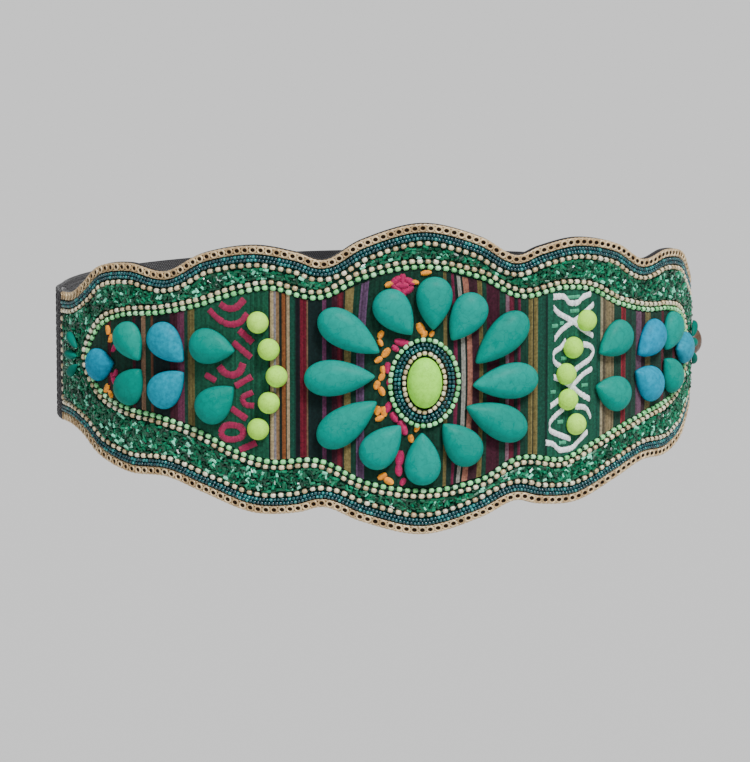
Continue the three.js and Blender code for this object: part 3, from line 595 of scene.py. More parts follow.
# The panel's backing
def band(name, lows, highs, levels, slot, finish=None, replaces=None, rim=0.5, rows=10, rib=0.0, ribs=0):
    """A closed band of the belt between two lines of (s, z) and two levels, with rounded edges. Round the
    section come the outer face, a half-round edge, the inner face and the other half-round edge. Each of
    its points stands at a share across, with a push outwards over the rim and a share of half the
    thickness. Ribs sink both faces between the cords by rib * cos(pi ribs across)^2."""
    flat = np.linspace(0, 1, rows)
    sunk = np.where((flat > 0) & (flat < 1), rib * np.cos(math.pi * ribs * flat) ** 2, 0)
    arc = np.linspace(-math.pi / 2, math.pi / 2, 5)[1:-1]
    across = np.r_[flat, np.ones(len(arc)), flat[::-1], np.zeros(len(arc))]
    push = np.r_[np.zeros(rows), np.cos(arc[::-1]), np.zeros(rows), -np.cos(arc)] * rim
    share = np.r_[1 - sunk, np.sin(arc[::-1]), sunk[::-1] - 1, np.sin(arc)]
    along = lows[:, :1] * (1 - across) + highs[:, :1] * across
    z = (lows[:, 1:] + rim) * (1 - across) + (highs[:, 1:] - rim) * across + push
    low, high = (np.broadcast_to(v, len(lows))[:, None] for v in levels)
    level = (low + high) / 2 + (high - low) / 2 * share
    flat_uv = np.stack([along, z], -1).reshape(-1, 2)
    faces = tube_faces(len(lows), len(across), inside_out=True)
    return make(name, wrap(along, z, level), faces, slot, finish, replaces, uv=flat_uv)


button_s = PANEL_HALF_LENGTH + CLEARANCE + BUTTON_WIDTH / 2
flap_end = max(PANEL_HALF_LENGTH + FLAP_LENGTH, button_s + STUD_WIDTH / 2 + 1)
flap_s = [flap_end, PANEL_HALF_LENGTH + 6, PANEL_HALF_LENGTH + 0.5]
beaded_s = np.linspace(-PANEL_HALF_LENGTH, PANEL_HALF_LENGTH, 420)
panel_s = np.r_[[-s for s in flap_s], beaded_s, flap_s[::-1]]
panel_bottom, panel_top = resampled(edge_bottom, panel_s), resampled(edge_top, panel_s)
backing = band("felt_backing", panel_bottom, panel_top, (0.0, BACKING_THICKNESS), "black_felt",
               replaces="backing_panel", rim=0.8)

# The elastic band, which eases inwards past the flaps
ELASTIC_STEPS = 200
elastic_start = PANEL_HALF_LENGTH + CLEARANCE
elastic_s = np.linspace(elastic_start, GIRTH - elastic_start, ELASTIC_STEPS)
past_flap = np.minimum(elastic_s, GIRTH - elastic_s) - flap_end
ease = np.clip((past_flap - 1) / ELASTIC_EASE, 0, 1)
ease = ease * ease * (3 - 2 * ease)
elastic_low = SEWN_LEVEL + (LAYER_GAP - SEWN_LEVEL) * ease
elastic_edge = np.full(ELASTIC_STEPS, ELASTIC_HEIGHT / 2)
webbing = band("elastic_webbing", np.c_[elastic_s, -elastic_edge], np.c_[elastic_s, elastic_edge],
               (elastic_low, elastic_low + ELASTIC_THICKNESS), "black_elastic", replaces="elastic_band",
               rim=0.6, rows=121, rib=0.3, ribs=30)

SEAM_HALF_HEIGHT, SEAM_STEP, SEAM_STITCH, SEAM_RISE, SEAM_THREAD = 23.4, 2.6, (0.2, 2.3), 0.25, 0.17


def seam(name, places):
    """Straight machine seams up the band, with a gap between one stitch and the next."""
    z = np.arange(-SEAM_HALF_HEIGHT, SEAM_HALF_HEIGHT - 2, SEAM_STEP)
    s, z = (a.ravel() for a in np.meshgrid(places, z, indexing="ij"))
    level = SEWN_LEVEL + ELASTIC_THICKNESS - 0.05
    starts, ends = (np.c_[s, z + lift] for lift in SEAM_STITCH)
    verts, faces = stitches(starts, ends, level, SEAM_RISE, SEAM_THREAD)
    make(name, verts, faces, "black_elastic", "thread", colour=one_shade((70, 66, 72), verts))


seam("left_elastic_seams", [GIRTH - elastic_start - 2.5, GIRTH - elastic_start - 8.5])
seam("right_elastic_hem", [elastic_start + 2.0])


# The button
def button():
    """A turned button with a groove round its dome, on a shank that ends in a flat stud inside. The
    profile gives heights above the inside of the belt and radii."""
    sides = 40
    radius, rim, stud = BUTTON_WIDTH / 2, BUTTON_HEIGHT * 0.2, STUD_WIDTH / 2
    sharpest_curve = WAIST_DEPTH**2 / WAIST_WIDTH / 2
    inside = -LAYER_GAP - stud**2 / (2 * sharpest_curve)
    under = SEWN_LEVEL + ELASTIC_THICKNESS + LAYER_GAP
    profile = [
        (inside - STUD_THICKNESS, 0.01), (inside - STUD_THICKNESS, stud - 0.4),
        (inside - STUD_THICKNESS + 0.35, stud), (inside - 0.3, stud), (inside, stud - 0.3),
        (inside, SHANK_WIDTH / 2), (under, SHANK_WIDTH / 2), (under, radius * 0.9),
        (under + 0.35, radius * 0.97),
    ]
    groove, groove_depth = (0.62, 0.74), 0.22
    for a in np.r_[np.linspace(0, 0.6, 6), 0.66, 0.7, np.linspace(0.76, 1.56, 9)]:
        sunk = groove_depth if groove[0] < a < groove[1] else 0
        profile.append((under + rim + (BUTTON_HEIGHT - rim) * math.sin(a) - sunk, radius * math.cos(a)))
    pts, _ = turned(profile, sides, False)
    verts = seat(pts[:, ::-1], button_s, -BUTTON_DROP, 0.0)
    make("wood_button", verts, tube_faces(len(profile), sides), "brown_button", replaces="side_button")


button()

# Rows of beads: the shades of each kind of bead, some painted glints, and of the braid's rings, and their
# shares
BEAD_SHADES_AND_PAINTED_GLINTS = {
    "gold_bead": ([(236, 218, 178), (208, 184, 140), (248, 238, 210)], [0.55, 0.25, 0.2]),
    "mint_bead": ([(144, 244, 158), (116, 216, 132), (180, 250, 186)], [0.55, 0.25, 0.2]),
    # The lightest teal shade is partly the beads' own spread of colour and partly a painted highlight
    "teal_bead": ([(6, 76, 82), (4, 58, 66), (30, 126, 126)], [0.5, 0.3, 0.2]),
    # The palest green shade is a painted glint: pale mint beads stand in for light caught on the glass
    "green_bead": ([(5, 62, 42), (8, 94, 64), (16, 130, 92), (124, 234, 196)], [0.34, 0.38, 0.2, 0.08]),
    "gold_braid": ([(220, 194, 150), (190, 160, 116)], [0.65, 0.35]),
}


def beads(name, shape, pts, level, turn, slot, replaces, tilt=0.0, roll=0.0, size=1.0, smooth=True):
    verts, faces = shape
    copies = len(pts)
    where = seat(verts, *pts.T, level, turn, tilt, roll, size)
    colour = np.repeat(tints(copies, *BEAD_SHADES_AND_PAINTED_GLINTS[slot]), len(verts), axis=0)
    faces = many(faces, len(verts), copies)
    make(name, where, faces, slot, replaces=replaces, colour=colour, smooth=smooth)


def strung(name, shape, pts, level, turn, slot, replaces, lift, twist, growth):
    """Beads on a thread. Each is lifted, turned and scaled by chance, by the three spreads."""
    n = len(pts)
    beads(name, shape, pts, level + rng.normal(0, lift, n), turn + rng.normal(0, twist, n), slot, replaces,
          roll=rng.uniform(0, FULL_TURN, n), size=1 + rng.normal(0, growth, n))


def row(name, line, pitch, bead, level, slot, replaces):
    """One closed row of beads."""
    shift, *others = ROW_CHANCE
    pts, turn = evenly(line, pitch, True)
    pts = pts + rng.normal(0, shift, pts.shape)
    strung(name, drilled_bead(*bead), pts, level, turn, slot, replaces, *others)


def teal_pair(name, lines, pitch, level, replaces, closed=False):
    """Two neighbouring rows of small teal beads. In an open pair the second is half a bead behind."""
    places, turns = [], []
    for k, line in enumerate(lines):
        pts, turn = evenly(line, pitch, closed)
        if k and not closed:
            pts, turn = (pts[1:] + pts[:-1]) / 2, turn[1:]
        places.append(pts)
        turns.append(turn)
    shift, *others = TEAL_CHANCE
    pts = np.vstack(places)
    pts = pts + rng.normal(0, shift, pts.T.shape).T
    strung(name, drilled_bead(*TEAL_BEAD, sides=8), pts, level, np.concatenate(turns), "teal_bead",
           replaces, *others)


def row_thread(name, line, shade, slot):
    """The thread that a closed row of beads is strung on."""
    pts, _ = evenly(line, 1.0, True)
    verts, faces = rope(ring_closed(pts), BEAD_LEVEL, STRINGING_THREAD, 5)
    make(name, verts, faces, slot, "thread", colour=one_shade(shade, verts))


ROWS = [  # name, line, slot, colour of the thread
    ("outer_gold", inset_loop(OUTER_GOLD_INSET + ROW_WIDTH / 2, END_MARGIN + ROW_WIDTH / 2), "gold_bead",
     (24, 70, 54)),
    ("field_gold", field_line, "gold_bead", (24, 70, 54)),
    ("field_mint", parallel(field_line, -ROW_WIDTH - CLEARANCE, True), "mint_bead", (20, 74, 54)),
]
for name, line, slot, _ in ROWS:
    row(f"{name}_beads", line, BEAD_PITCH, ROW_BEAD, BEAD_LEVEL, slot, f"{name}_row")
for name, line, slot, shade in ROWS:
    row_thread(f"{name}_thread", line, shade, slot)

PAIR_SHARES = (0.25, 0.75)
for end, (edge, inwards) in EDGES.items():
    pair = [parallel(edge, inwards * (TEAL_INSET + TEAL_ROWS_WIDTH * share)) for share in PAIR_SHARES]
    teal_pair(f"teal_beads_{end}", pair, TEAL_PITCH, SEWN_LEVEL + 0.85, f"teal_rows_{end}")


# The rings round the centre stone
def ring_line(out):
    """An upright ellipse, so far out from the hole that the centre stone stands in."""
    a = -circle(220)
    across = CENTRE_STONE[1] / 2 + CLEARANCE + out
    high = CENTRE_STONE[0] / 2 + CLEARANCE + RING_ROOM_ABOVE + out
    return CENTRE + np.c_[across * np.cos(a), high * np.sin(a)]


ring_level = STONE_LEVEL + RING_HEIGHT / 2
teal_ring = GOLD_RING_WIDTH + CLEARANCE
mint_ring = teal_ring + TEAL_RING_WIDTH + CLEARANCE
row("centre_gold_beads", ring_line(GOLD_RING_WIDTH / 2), CENTRE_GOLD_PITCH, CENTRE_GOLD_BEAD, ring_level,
    "gold_bead", "centre_gold_ring")
teal_pair("centre_teal_beads", [ring_line(teal_ring + TEAL_RING_WIDTH * share) for share in PAIR_SHARES],
          CENTRE_TEAL_PITCH, ring_level, "centre_teal_ring", closed=True)
row("centre_mint_beads", ring_line(mint_ring + MINT_RING_WIDTH / 2), CENTRE_MINT_PITCH, CENTRE_MINT_BEAD,
    ring_level, "mint_bead", "centre_mint_ring")
petal_circle = (CENTRE_STONE[0] / 2 + CLEARANCE + RING_ROOM_ABOVE + mint_ring + MINT_RING_WIDTH + CLEARANCE
                + PETAL_CLEARANCE)

# The gold braid: how far in its parts lie, radius, level, and turn of the strands in radians a millimetre
BRAID_CORDS = [
    (EDGE_MARGIN + 0.4, 0.4, SEWN_LEVEL + 0.6, 1.8),
    (EDGE_MARGIN + BRAID_WIDTH - 0.32, 0.32, SEWN_LEVEL + 0.55, 2.2),
]
CORD_STEP, CORD_PLY = 0.55, 0.22
BRAID_RING_LENGTH, BRAID_RING_HEIGHT, BRAID_RING_THREAD, BRAID_RING_TILT = 1.26, 1.1, 0.38, 0.16
CHAIN_INSET = EDGE_MARGIN + BRAID_WIDTH * 0.51


def braid_ring():
    """A small oval ring of thread: a torus with 12 points round it and 6 round the thread."""
    a, b = circle(12)[:, None], circle(6)[None]
    out = BRAID_RING_THREAD * np.cos(b)
    shape = [(BRAID_RING_LENGTH + out) * np.cos(a), (BRAID_RING_HEIGHT + out) * np.sin(a),
             BRAID_RING_THREAD * np.sin(b) + 0.0 * a]
    return np.stack(shape, -1).reshape(-1, 3), quads_between(12, 6, True)


def joined(parts):
    """Several (points, faces) pairs as one pair."""
    verts, faces, base = [], [], 0
    for v, f in parts:
        verts.append(v)
        faces.append(f + base)
        base += len(v)
    return np.vstack(verts), np.vstack(faces)


def braid(end):
    """A twisted gold cord along the outside, a thinner one along the inside, and between them a chain of
    small rings of thread over a brown ground."""
    edge, inwards = EDGES[end]
    parts = []
    for inset, radius, level, lay in BRAID_CORDS:
        path, _ = evenly(parallel(edge, inwards * inset), CORD_STEP)
        parts.append(rope(path, level, radius, 6, CORD_PLY, lay))
    cord_points = sum(len(verts) for verts, _ in parts)
    pts, turn = evenly(parallel(edge, inwards * CHAIN_INSET), BEAD_PITCH)
    ring, faces = braid_ring()
    where = seat(ring, *pts.T, BEAD_LEVEL, turn, tilt=BRAID_RING_TILT)
    parts.append((where.reshape(-1, 3), many(faces, len(ring), len(pts))))
    verts, faces = joined(parts)
    cord_colour = one_shade((212, 184, 140), verts[:cord_points])
    ring_tints = tints(len(pts), *BEAD_SHADES_AND_PAINTED_GLINTS["gold_braid"])
    colour = np.vstack([cord_colour, np.repeat(ring_tints, len(ring), axis=0)])
    make(f"braid_{end}", verts, faces, "gold_braid", replaces=f"edge_braid_{end}", colour=colour)

    s = np.linspace(-PANEL_HALF_LENGTH, PANEL_HALF_LENGTH, 300)
    lines = [resampled(parallel(edge, inwards * (EDGE_MARGIN + inset)), s) for inset in (0.3, BRAID_WIDTH)]
    low, high = lines[::inwards]
    band(f"braid_{end}_ground", low, high, (GROUND_LEVEL, SEWN_LEVEL + 0.25), "gold_braid", "tape",
         rim=0.15, rows=3)


for end in EDGES:
    braid(end)


# The green beads
def scattered_green():
    """Places and turns for the green beads: the points of a six-sided grid, each shaken a little, and kept
    where they lie between the outer gold row and the field's gold row. Inside or outside is read from how
    often a line crosses the point's height beyond it. A bead near a row lies along the row, the others
    lie anyhow."""
    half_length, half_height, shake, nearest, row_reach = 165, 56, 0.36, 0.2, 0.95
    s, z = np.meshgrid(np.arange(-half_length, half_length, GREEN_PITCH),
                       np.arange(-half_height, half_height, GREEN_PITCH * 0.866))
    s = s + (np.arange(s.shape[0]) % 2)[:, None] * GREEN_PITCH / 2
    pts = np.c_[s.ravel(), z.ravel()] + rng.uniform(-shake, shake, (s.size, 2))
    outer = inset_loop(GREEN_INSET, END_MARGIN + ROW_WIDTH + CLEARANCE)
    inner = parallel(field_line, ROW_WIDTH / 2 + CLEARANCE, True)

    def inside(loop):
        a, b = loop, np.roll(loop, -1, 0)
        x, y = pts[:, :1], pts[:, 1:]
        crosses = (a[:, 1] > y) != (b[:, 1] > y)
        rise = np.where(b[:, 1] == a[:, 1], 1e-9, b[:, 1] - a[:, 1])
        return (crosses & (x < (b[:, 0] - a[:, 0]) * (y - a[:, 1]) / rise + a[:, 0])).sum(1) % 2 == 1

    def near(loop):
        dense, way = evenly(loop, 0.6, True)
        away = ((pts[:, None] - dense[None]) ** 2).sum(2)
        first = away.argmin(1)
        return np.sqrt(away[np.arange(len(pts)), first]), way[first]

    pts = pts[inside(outer)]
    pts = pts[~inside(inner)]
    (to_outer, way_outer), (to_inner, way_inner) = near(outer), near(inner)
    edge, way = np.minimum(to_outer, to_inner), np.where(to_outer < to_inner, way_outer, way_inner)
    beside_row, anyhow = way + rng.normal(0, 0.16, len(pts)), rng.uniform(0, math.pi, len(pts))
    turn = np.where(edge < row_reach, beside_row, anyhow)
    keep = edge > nearest
    return pts[keep], turn[keep]


green, green_turn = scattered_green()
count = len(green)
beads("green_cut_beads", cut_bead(*GREEN_BEAD), green, SEWN_LEVEL + 0.8 + rng.uniform(*GREEN_LIFT, count),
      green_turn, "green_bead", "green_bead_band", tilt=rng.normal(0, GREEN_TILT, count),
      roll=rng.uniform(0, FULL_TURN, count), size=rng.uniform(*GREEN_SIZES, count), smooth=False)

# The dark ground that all the rows are sewn to
ground_s = np.linspace(-PANEL_HALF_LENGTH + END_MARGIN, PANEL_HALF_LENGTH - END_MARGIN, 300)
ground_top, ground_bottom = (resampled(parallel(edge, inwards * TEAL_INSET), ground_s)
                             for edge, inwards in EDGES.values())
ground = band("sewing_ground", ground_bottom, ground_top, (GROUND_LEVEL, SEWN_LEVEL + 0.12), "black_felt",
              "ground", rim=0.2, rows=14)


# Stones
def plan(length, width, point, sides, blunt=0.0):
    """The outline of a stone: x = -cos(a) L/2, y = sin(a) sin(a/2)^point W/2, scaled to its full width. A
    blunt outline is made smaller by that radius first and then moved out again along its normals."""
    a = circle(sides)
    widest = 2 * ((point + 1) / (point + 2)) ** ((point + 1) / 2) * (1 / (point + 2)) ** 0.5
    taper = np.sin(a / 2) ** point / widest if point else 1.0
    outline = np.c_[-np.cos(a) * (length / 2 - blunt), np.sin(a) * taper * (width / 2 - blunt)]
    return parallel(outline, blunt, True)


def cabochon(cut, point, sides, rings):
    """A domed stone. Rings shrink from the outline towards an oval round the heart of the wide end, which
    softens the ridge to the point. The ring at share r of the way out stands at 0.2 + 0.8 (1 - r^2.5)^0.55
    of the height, and at 0.12 + 0.88 (1 - r^2)^0.5 on a stone without a point."""
    length, width, height = cut
    outline = plan(length, width, point, sides, min(0.6, width * 0.06))
    heart = np.array([length * 0.1 if point else 0.0, 0.0])
    oval = plan(length * 0.86, width * 0.92, 0, sides) + heart
    shares = np.sin(np.linspace(1, 0.04, rings) * math.pi / 2)
    foot, bend, power = (0.2, 2.5, 0.55) if point else (0.12, 2, 0.5)
    rise = foot + (1 - foot) * np.maximum(0, 1 - shares**bend) ** power
    pts = [np.c_[outline * 0.985 + heart * 0.015, np.zeros(sides)]]
    for share, up in zip(shares, rise):
        mix = min(1.0, 1.5 * (1 - share)) if point else 0.0
        ring = outline * (1 - mix) + oval * mix
        pts.append(np.c_[heart + (ring - heart) * share, np.full(sides, up * height)])
    return np.vstack(pts), tube_faces(rings + 1, sides, inside_out=True)


STONE_SHADES = {
    "teal_stone": [(0, 141, 127), (0, 137, 123), (0, 145, 132)],
    "blue_stone": [(4, 144, 170), (0, 140, 167), (8, 148, 174)],
    "lime_stone": [(186, 255, 84), (180, 250, 78), (192, 255, 94)],
}
# Stones with a shade of their own, partly their own colour and partly painted light
STONE_TINTS_WITH_PAINTED_LIGHT = {
    "left_drop_1": (0, 138, 124), "left_drop_2": (0, 136, 122), "left_drop_5": (0, 147, 131),
    "left_drop_6": (0, 129, 114), "left_end_drop": (4, 134, 166), "right_drop_1": (0, 141, 127),
    "right_drop_2": (0, 145, 130), "right_drop_3": (0, 144, 182), "right_drop_4": (0, 147, 180),
    "right_drop_6": (0, 140, 125), "right_end_drop": (22, 146, 174), "centre_stone": (166, 255, 80),
    "left_fan_1": (0, 112, 97), "left_fan_2": (0, 118, 102), "left_fan_3": (0, 108, 93),
    "right_fan_1": (0, 108, 93), "right_fan_2": (0, 114, 97), "right_fan_3": (0, 108, 93),
}


def place_stone(name, cut, middle, level, turn, slot, point, detail):
    pts, faces = cabochon(cut, point, *detail)
    # The listed shades hold painted light: the drops on the right are made lighter, as light falls from
    # the right
    shade = STONE_TINTS_WITH_PAINTED_LIGHT.get(name) or STONE_SHADES[slot][rng.integers(3)]
    verts = seat(pts, *middle, level, math.radians(turn))
    make(f"{name}_cabochon", verts, faces, slot, replaces=name, colour=one_shade(shade, pts))


def towards(degrees, distance):
    a = math.radians(degrees)
    return np.array([math.cos(a), math.sin(a)]) * distance


def place_pear(name, cut, tip, turn, slot, level=STONE_LEVEL, detail=PEAR_DETAIL):
    middle = tip + towards(turn, cut[0] / 2)
    place_stone(name, cut, middle, level, turn, slot, PEAR_POINT, detail)


place_stone("centre_stone", CENTRE_STONE, CENTRE, STONE_LEVEL, 90, "lime_stone", 0, CENTRE_DETAIL)
for i, (place, reach, turn, cut) in enumerate(PETALS):
    tip = CENTRE + towards(place, reach * petal_circle)
    place_pear(f"petal_{i + 1:02d}", cut, tip, turn, "teal_stone")
for name, at, up, turn, cut, slot in DROPS:
    place_pear(name, cut, np.array([at * PANEL_HALF_LENGTH, up * CREST_HEIGHT]), turn, slot)
for name, at, up, bow, power, pitch, lean in DOT_COLUMNS:
    for step in range(-DOTS_EACH_SIDE, DOTS_EACH_SIDE + 1):
        along = at + bow * abs(step / DOTS_EACH_SIDE) ** power + lean * step
        middle = (along * PANEL_HALF_LENGTH, (up + pitch * step) * CREST_HEIGHT)
        place_stone(f"{name}_{step + DOTS_EACH_SIDE + 1}", DOT, middle, STONE_LEVEL, 0, "lime_stone",
                    0, DOT_DETAIL)
for name, side in (("left_fan", -1), ("right_fan", 1)):
    for i, turn in enumerate(FAN_TURNS):
        start = field_tip[side] + towards(turn, ROW_WIDTH / 2 + FAN_GAP) * [side, FAN_SPREAD]
        place_pear(f"{name}_{i + 1}", FAN_DROP, start, turn if side > 0 else 180 - turn, "teal_stone",
                   FACE_LEVEL + LAYER_GAP, FAN_DETAIL)

# The striped cloth
STRIP_WIDTH, CLOTH_ROWS, HEM_DIP = 0.55, 110, 0.12
RIPPLE_HEIGHT, RIPPLE_LENGTH, STREAKS, SPECKS = 0.06, 1.1, 0.16, 0.07
BASE = (20, 60, 46)
STRIPES = [  # from, to, colour, how far it stands up
    (-127, -125.2, (92, 28, 42), 0), (-114, -112.6, (82, 26, 42), 0), (-112.6, -109.8, (20, 34, 34), 0),
    (-109.8, -107.8, (146, 112, 88), 0.2), (-105.4, -104.3, (104, 66, 48), 0.15),
    (-104.3, -97, (18, 36, 36), 0), (-97, -93.7, (64, 24, 38), 0), (-93.7, -90.8, (100, 48, 72), 0.12),
    (-89.4, -86.6, (106, 96, 56), 0.25), (-86.6, -57.6, (22, 84, 62), 0), (-57.6, -57, (22, 26, 28), 0),
    (-57, -55.7, (168, 148, 112), 0.25), (-55.7, -54.8, (132, 126, 134), 0.1),
    (-54.8, -53.6, (150, 118, 86), 0.2), (-53.6, -52.6, (22, 36, 34), 0),
    (-52.6, -51.2, (122, 72, 40), 0.2), (-51.2, -50.8, (24, 40, 36), 0),
    (-50.8, -49.7, (166, 144, 112), 0.2), (-49.7, -47.5, (20, 70, 56), 0), (-47.5, -45.8, (20, 22, 28), 0),
    (-45.8, -43.4, (106, 24, 42), 0.12), (-43.4, -42.8, (110, 82, 62), 0.1),
    (-42.8, -37.5, (16, 36, 36), 0), (-37.5, -36, (104, 54, 88), 0.12), (-36, -34, (18, 32, 34), 0),
    (-34, -32, (64, 26, 40), 0), (-32, -30, (98, 28, 42), 0.1), (-30, -29.5, (20, 36, 34), 0),
    (-29.5, -27, (124, 110, 68), 0.2), (-25, -22, (92, 66, 96), 0.12), (8, 9.5, (112, 100, 60), 0.2),
    (9.5, 12, (22, 48, 42), 0), (12, 13.5, (108, 34, 62), 0.12), (13.5, 15, (20, 40, 36), 0),
    (15, 16.6, (150, 148, 140), 0.2), (16.6, 17.4, (22, 40, 36), 0), (17.4, 19.3, (150, 98, 82), 0.2),
    (19.3, 22, (62, 32, 42), 0), (22, 23.5, (112, 100, 58), 0.2), (25, 30, (62, 22, 38), 0.05),
    (32.5, 34, (124, 90, 104), 0.12), (34, 36, (92, 28, 46), 0), (36, 37.5, (20, 38, 36), 0),
    (37.5, 38.7, (100, 34, 58), 0.1), (42, 43.8, (120, 108, 64), 0.25), (43.8, 44.3, (48, 52, 36), 0),
    (44.3, 46, (112, 100, 58), 0.25), (46, 49.4, (20, 76, 60), 0), (49.4, 50.4, (12, 42, 36), 0),
    (50.4, 72, (22, 92, 70), 0), (72, 75, (14, 82, 64), 0), (75, 76.2, (160, 150, 122), 0.2),
    (76.2, 78, (98, 88, 68), 0), (78, 82, (138, 122, 90), 0.2), (86, 88.5, (140, 34, 48), 0.12),
    (94.5, 98, (104, 72, 92), 0.12), (98, 100.2, (50, 24, 34), 0), (100.5, 104, (112, 102, 64), 0.2),
    (112, 114, (96, 28, 42), 0), (122, 124.5, (96, 28, 42), 0),
]


def stripe_table(limit):
    """Every column's edges, colour and relief, with the base colour between the stripes."""
    columns, reached = [], -limit
    for low, high, rgb, rise in STRIPES:
        if low > reached + 1e-6:
            columns.append((reached, low, BASE, 0.0))
        columns.append((low, high, rgb, rise))
        reached = high
    return [*columns, (reached, limit, BASE, 0.0)]


def cloth_columns(low_limit, high_limit):
    """Each stripe is cut into narrow strips, and a raised one bulges by height * sin(pi t) across its
    width. Gives the edges of the strips, how far each edge stands up, and the shades of the strips."""
    s, rise, shade = [], [], []
    for low, high, rgb, height in stripe_table(140):
        low, high = max(low, low_limit), min(high, high_limit)
        if high - low < 0.01:
            continue
        steps = max(2, round((high - low) / STRIP_WIDTH))
        t = np.arange(steps) / steps
        s.append(low + (high - low) * t)
        rise.append(height * np.sin(math.pi * t))
        shade.append(np.repeat([srgb(*rgb)], steps, axis=0))
    return np.r_[np.concatenate(s), high_limit], np.r_[np.concatenate(rise), 0], np.vstack(shade)


def bowed(s, z):
    """Beside the centre the stripes bow: towards the cloth's edges they move by up to 2.4 mm, as the
    square of the height. On the left they do so above the middle only."""
    ends = np.clip(z / 38, -1, 1)
    right = 2.3 * np.exp(-(((s - 17) / 6) ** 2)) * ends**2
    left = 2.4 * np.exp(-(((s + 24) / 5) ** 2)) * np.maximum(ends, 0) ** 2
    return s - right + left


def cloth():
    """The striped cloth, with its raised stripes, and a skirt down to the ground all round it."""
    loop = parallel(field_line, -1.5 * ROW_WIDTH - 2 * CLEARANCE + 0.2, True)
    left, right = np.argmin(loop[:, 0]), np.argmax(loop[:, 0])
    ordered = np.roll(loop, -left, 0)
    turn = (right - left) % len(loop)
    top, bottom = ordered[: turn + 1], np.vstack([ordered[turn:], ordered[:1]])[::-1]
    s, rise, shade = cloth_columns(loop[left, 0] + 0.05, loop[right, 0] - 0.05)
    high, low = (np.interp(s, line[:, 0], line[:, 1]) for line in (top, bottom))
    columns, rows = len(s), CLOTH_ROWS
    across, rise = s[:, None], rise[:, None]
    v = np.linspace(0, 1, rows)[None]
    z = low[:, None] * (1 - v) + high[:, None] * v
    ripple = RIPPLE_HEIGHT * np.sin(z * 2 * math.pi / RIPPLE_LENGTH + across * 2) * (rise > 0.02)
    fall = np.minimum(1, np.minimum(v, 1 - v) * 30)
    level = CLOTH_LEVEL - HEM_DIP * (1 - fall) + (rise + ripple) * fall
    along = bowed(across, z)
    verts = wrap(along, z, level).reshape(-1, 3)
    faces = quads_between(columns, rows, False, False)
    column = np.repeat(np.arange(columns - 1), rows - 1)
    streak = 1 + STREAKS * rng.standard_normal((columns - 1, 1))
    tone = np.clip(shade * streak, 0, 1)[column] * (1 + SPECKS * rng.standard_normal((len(column), 1)))

    point = np.arange(columns * rows).reshape(columns, rows)
    rim = np.r_[point[:, 0], point[-1, 1:], point[-2::-1, -1], point[0, -2:0:-1]]
    rim_flat = np.c_[along.ravel(), z.ravel()][rim]
    skirt = wrap(*rim_flat.T, SEWN_LEVEL)
    below = np.arange(len(rim)) + len(verts)
    wall = np.stack([rim, below, np.roll(below, -1), np.roll(rim, -1)], -1)
    tones = np.vstack([np.clip(tone, 0, 1), np.tile(srgb(*BASE), (len(rim), 1))])
    uv = np.vstack([np.c_[along.ravel(), z.ravel()], rim_flat])
    piece = make("embroidered_cloth", np.vstack([verts, skirt]), np.vstack([faces, wall]), "striped_cloth",
                 replaces="striped_cloth", face_colour=tones, uv=uv)


cloth()


# Embroidery
SATIN_THREAD, GRAIN_THREAD, GRAIN_PITCH, GRAIN_RISE = 0.58, 0.62, 0.34, 0.8


def embroider(name, starts, ends, bulge, radius, shade, steps=5):
    a, b = np.vstack(starts), np.vstack(ends)
    verts, faces = stitches(a, b, STITCH_LEVEL, bulge, radius, steps)
    make(name, verts, faces, "striped_cloth", "thread",
         colour=spread_shade(shade, len(a), len(verts) // len(a)))


def satin(name, strokes, pitch, shade, bulge, across=None):
    """Satin stitch: threads side by side across each stroke. A stroke is (width, points). `across` fixes
    the direction of the threads; otherwise they cross the stroke squarely."""
    starts, ends = [], []
    for width, pts in strokes:
        line = catmull(pts, False, 10) if len(pts) > 2 else np.array(pts, float)
        at, way = evenly(line, pitch)
        angle = way + math.pi / 2 if across is None else np.full(len(at), across)
        uneven = 1 + 0.07 * rng.standard_normal((len(at), 1))
        step = np.c_[np.cos(angle), np.sin(angle)] * width / 2 * uneven
        starts.append(at - step)
        ends.append(at + step)
    embroider(name, starts, ends, bulge, pitch * SATIN_THREAD, shade)


def grains(name, places, shade):
    """Padded grains of thread: an oval of parallel threads, longest in its middle. A grain is s, z, turn,
    length, width."""
    starts, ends = [], []
    for s, z, turn, length, width in places:
        n = max(3, round(length / GRAIN_PITCH))
        t = ((np.arange(n) + 0.5) / n * 2 - 1)[:, None]
        middle = np.array([s, z]) + towards(turn, length / 2) * t
        reach = towards(turn + 90, width / 2) * np.sqrt(1 - 0.92 * t**2)
        starts.append(middle - reach)
        ends.append(middle + reach)
    embroider(name, starts, ends, GRAIN_RISE, GRAIN_PITCH * GRAIN_THREAD, shade, steps=6)


MAGENTA = [  # width, points
    (2.4, [(-76, 28), (-73.6, 26.6), (-70.2, 26.8), (-66.8, 30)]),
    (2.2, [(-80.4, 25.6), (-77.4, 22.8), (-73, 20.6), (-68.6, 21.4), (-65.6, 24.6)]),
    (2.4, [(-68.6, 18.4), (-63.8, 14.2)]),
    (2.2, [(-71, 13.8), (-64.4, 8.6)]),
    (2.6, [(-76.6, 4.6), (-74.6, 2.4), (-71.4, 1.6), (-68.6, 3), (-67.4, 6)]),
    (2.2, [(-82, 1.2), (-78.2, -0.8)]),
    (2.2, [(-70.2, -2.4), (-64.2, 1.2)]),
    (2.0, [(-63.8, -4.6), (-67.6, -6.8), (-66.6, -9.2), (-63.4, -9.6)]),
    (2.3, [(-71.8, -11), (-66.2, -14.6)]),
    (2.3, [(-76.2, -20.2), (-74.8, -17.8), (-71.4, -17.2), (-68, -18.2), (-67.6, -21), (-71, -22.6),
           (-75, -22.2), (-76.2, -20.4)]),
    (2.2, [(-68.6, -26.4), (-62.6, -23.6)]),
]
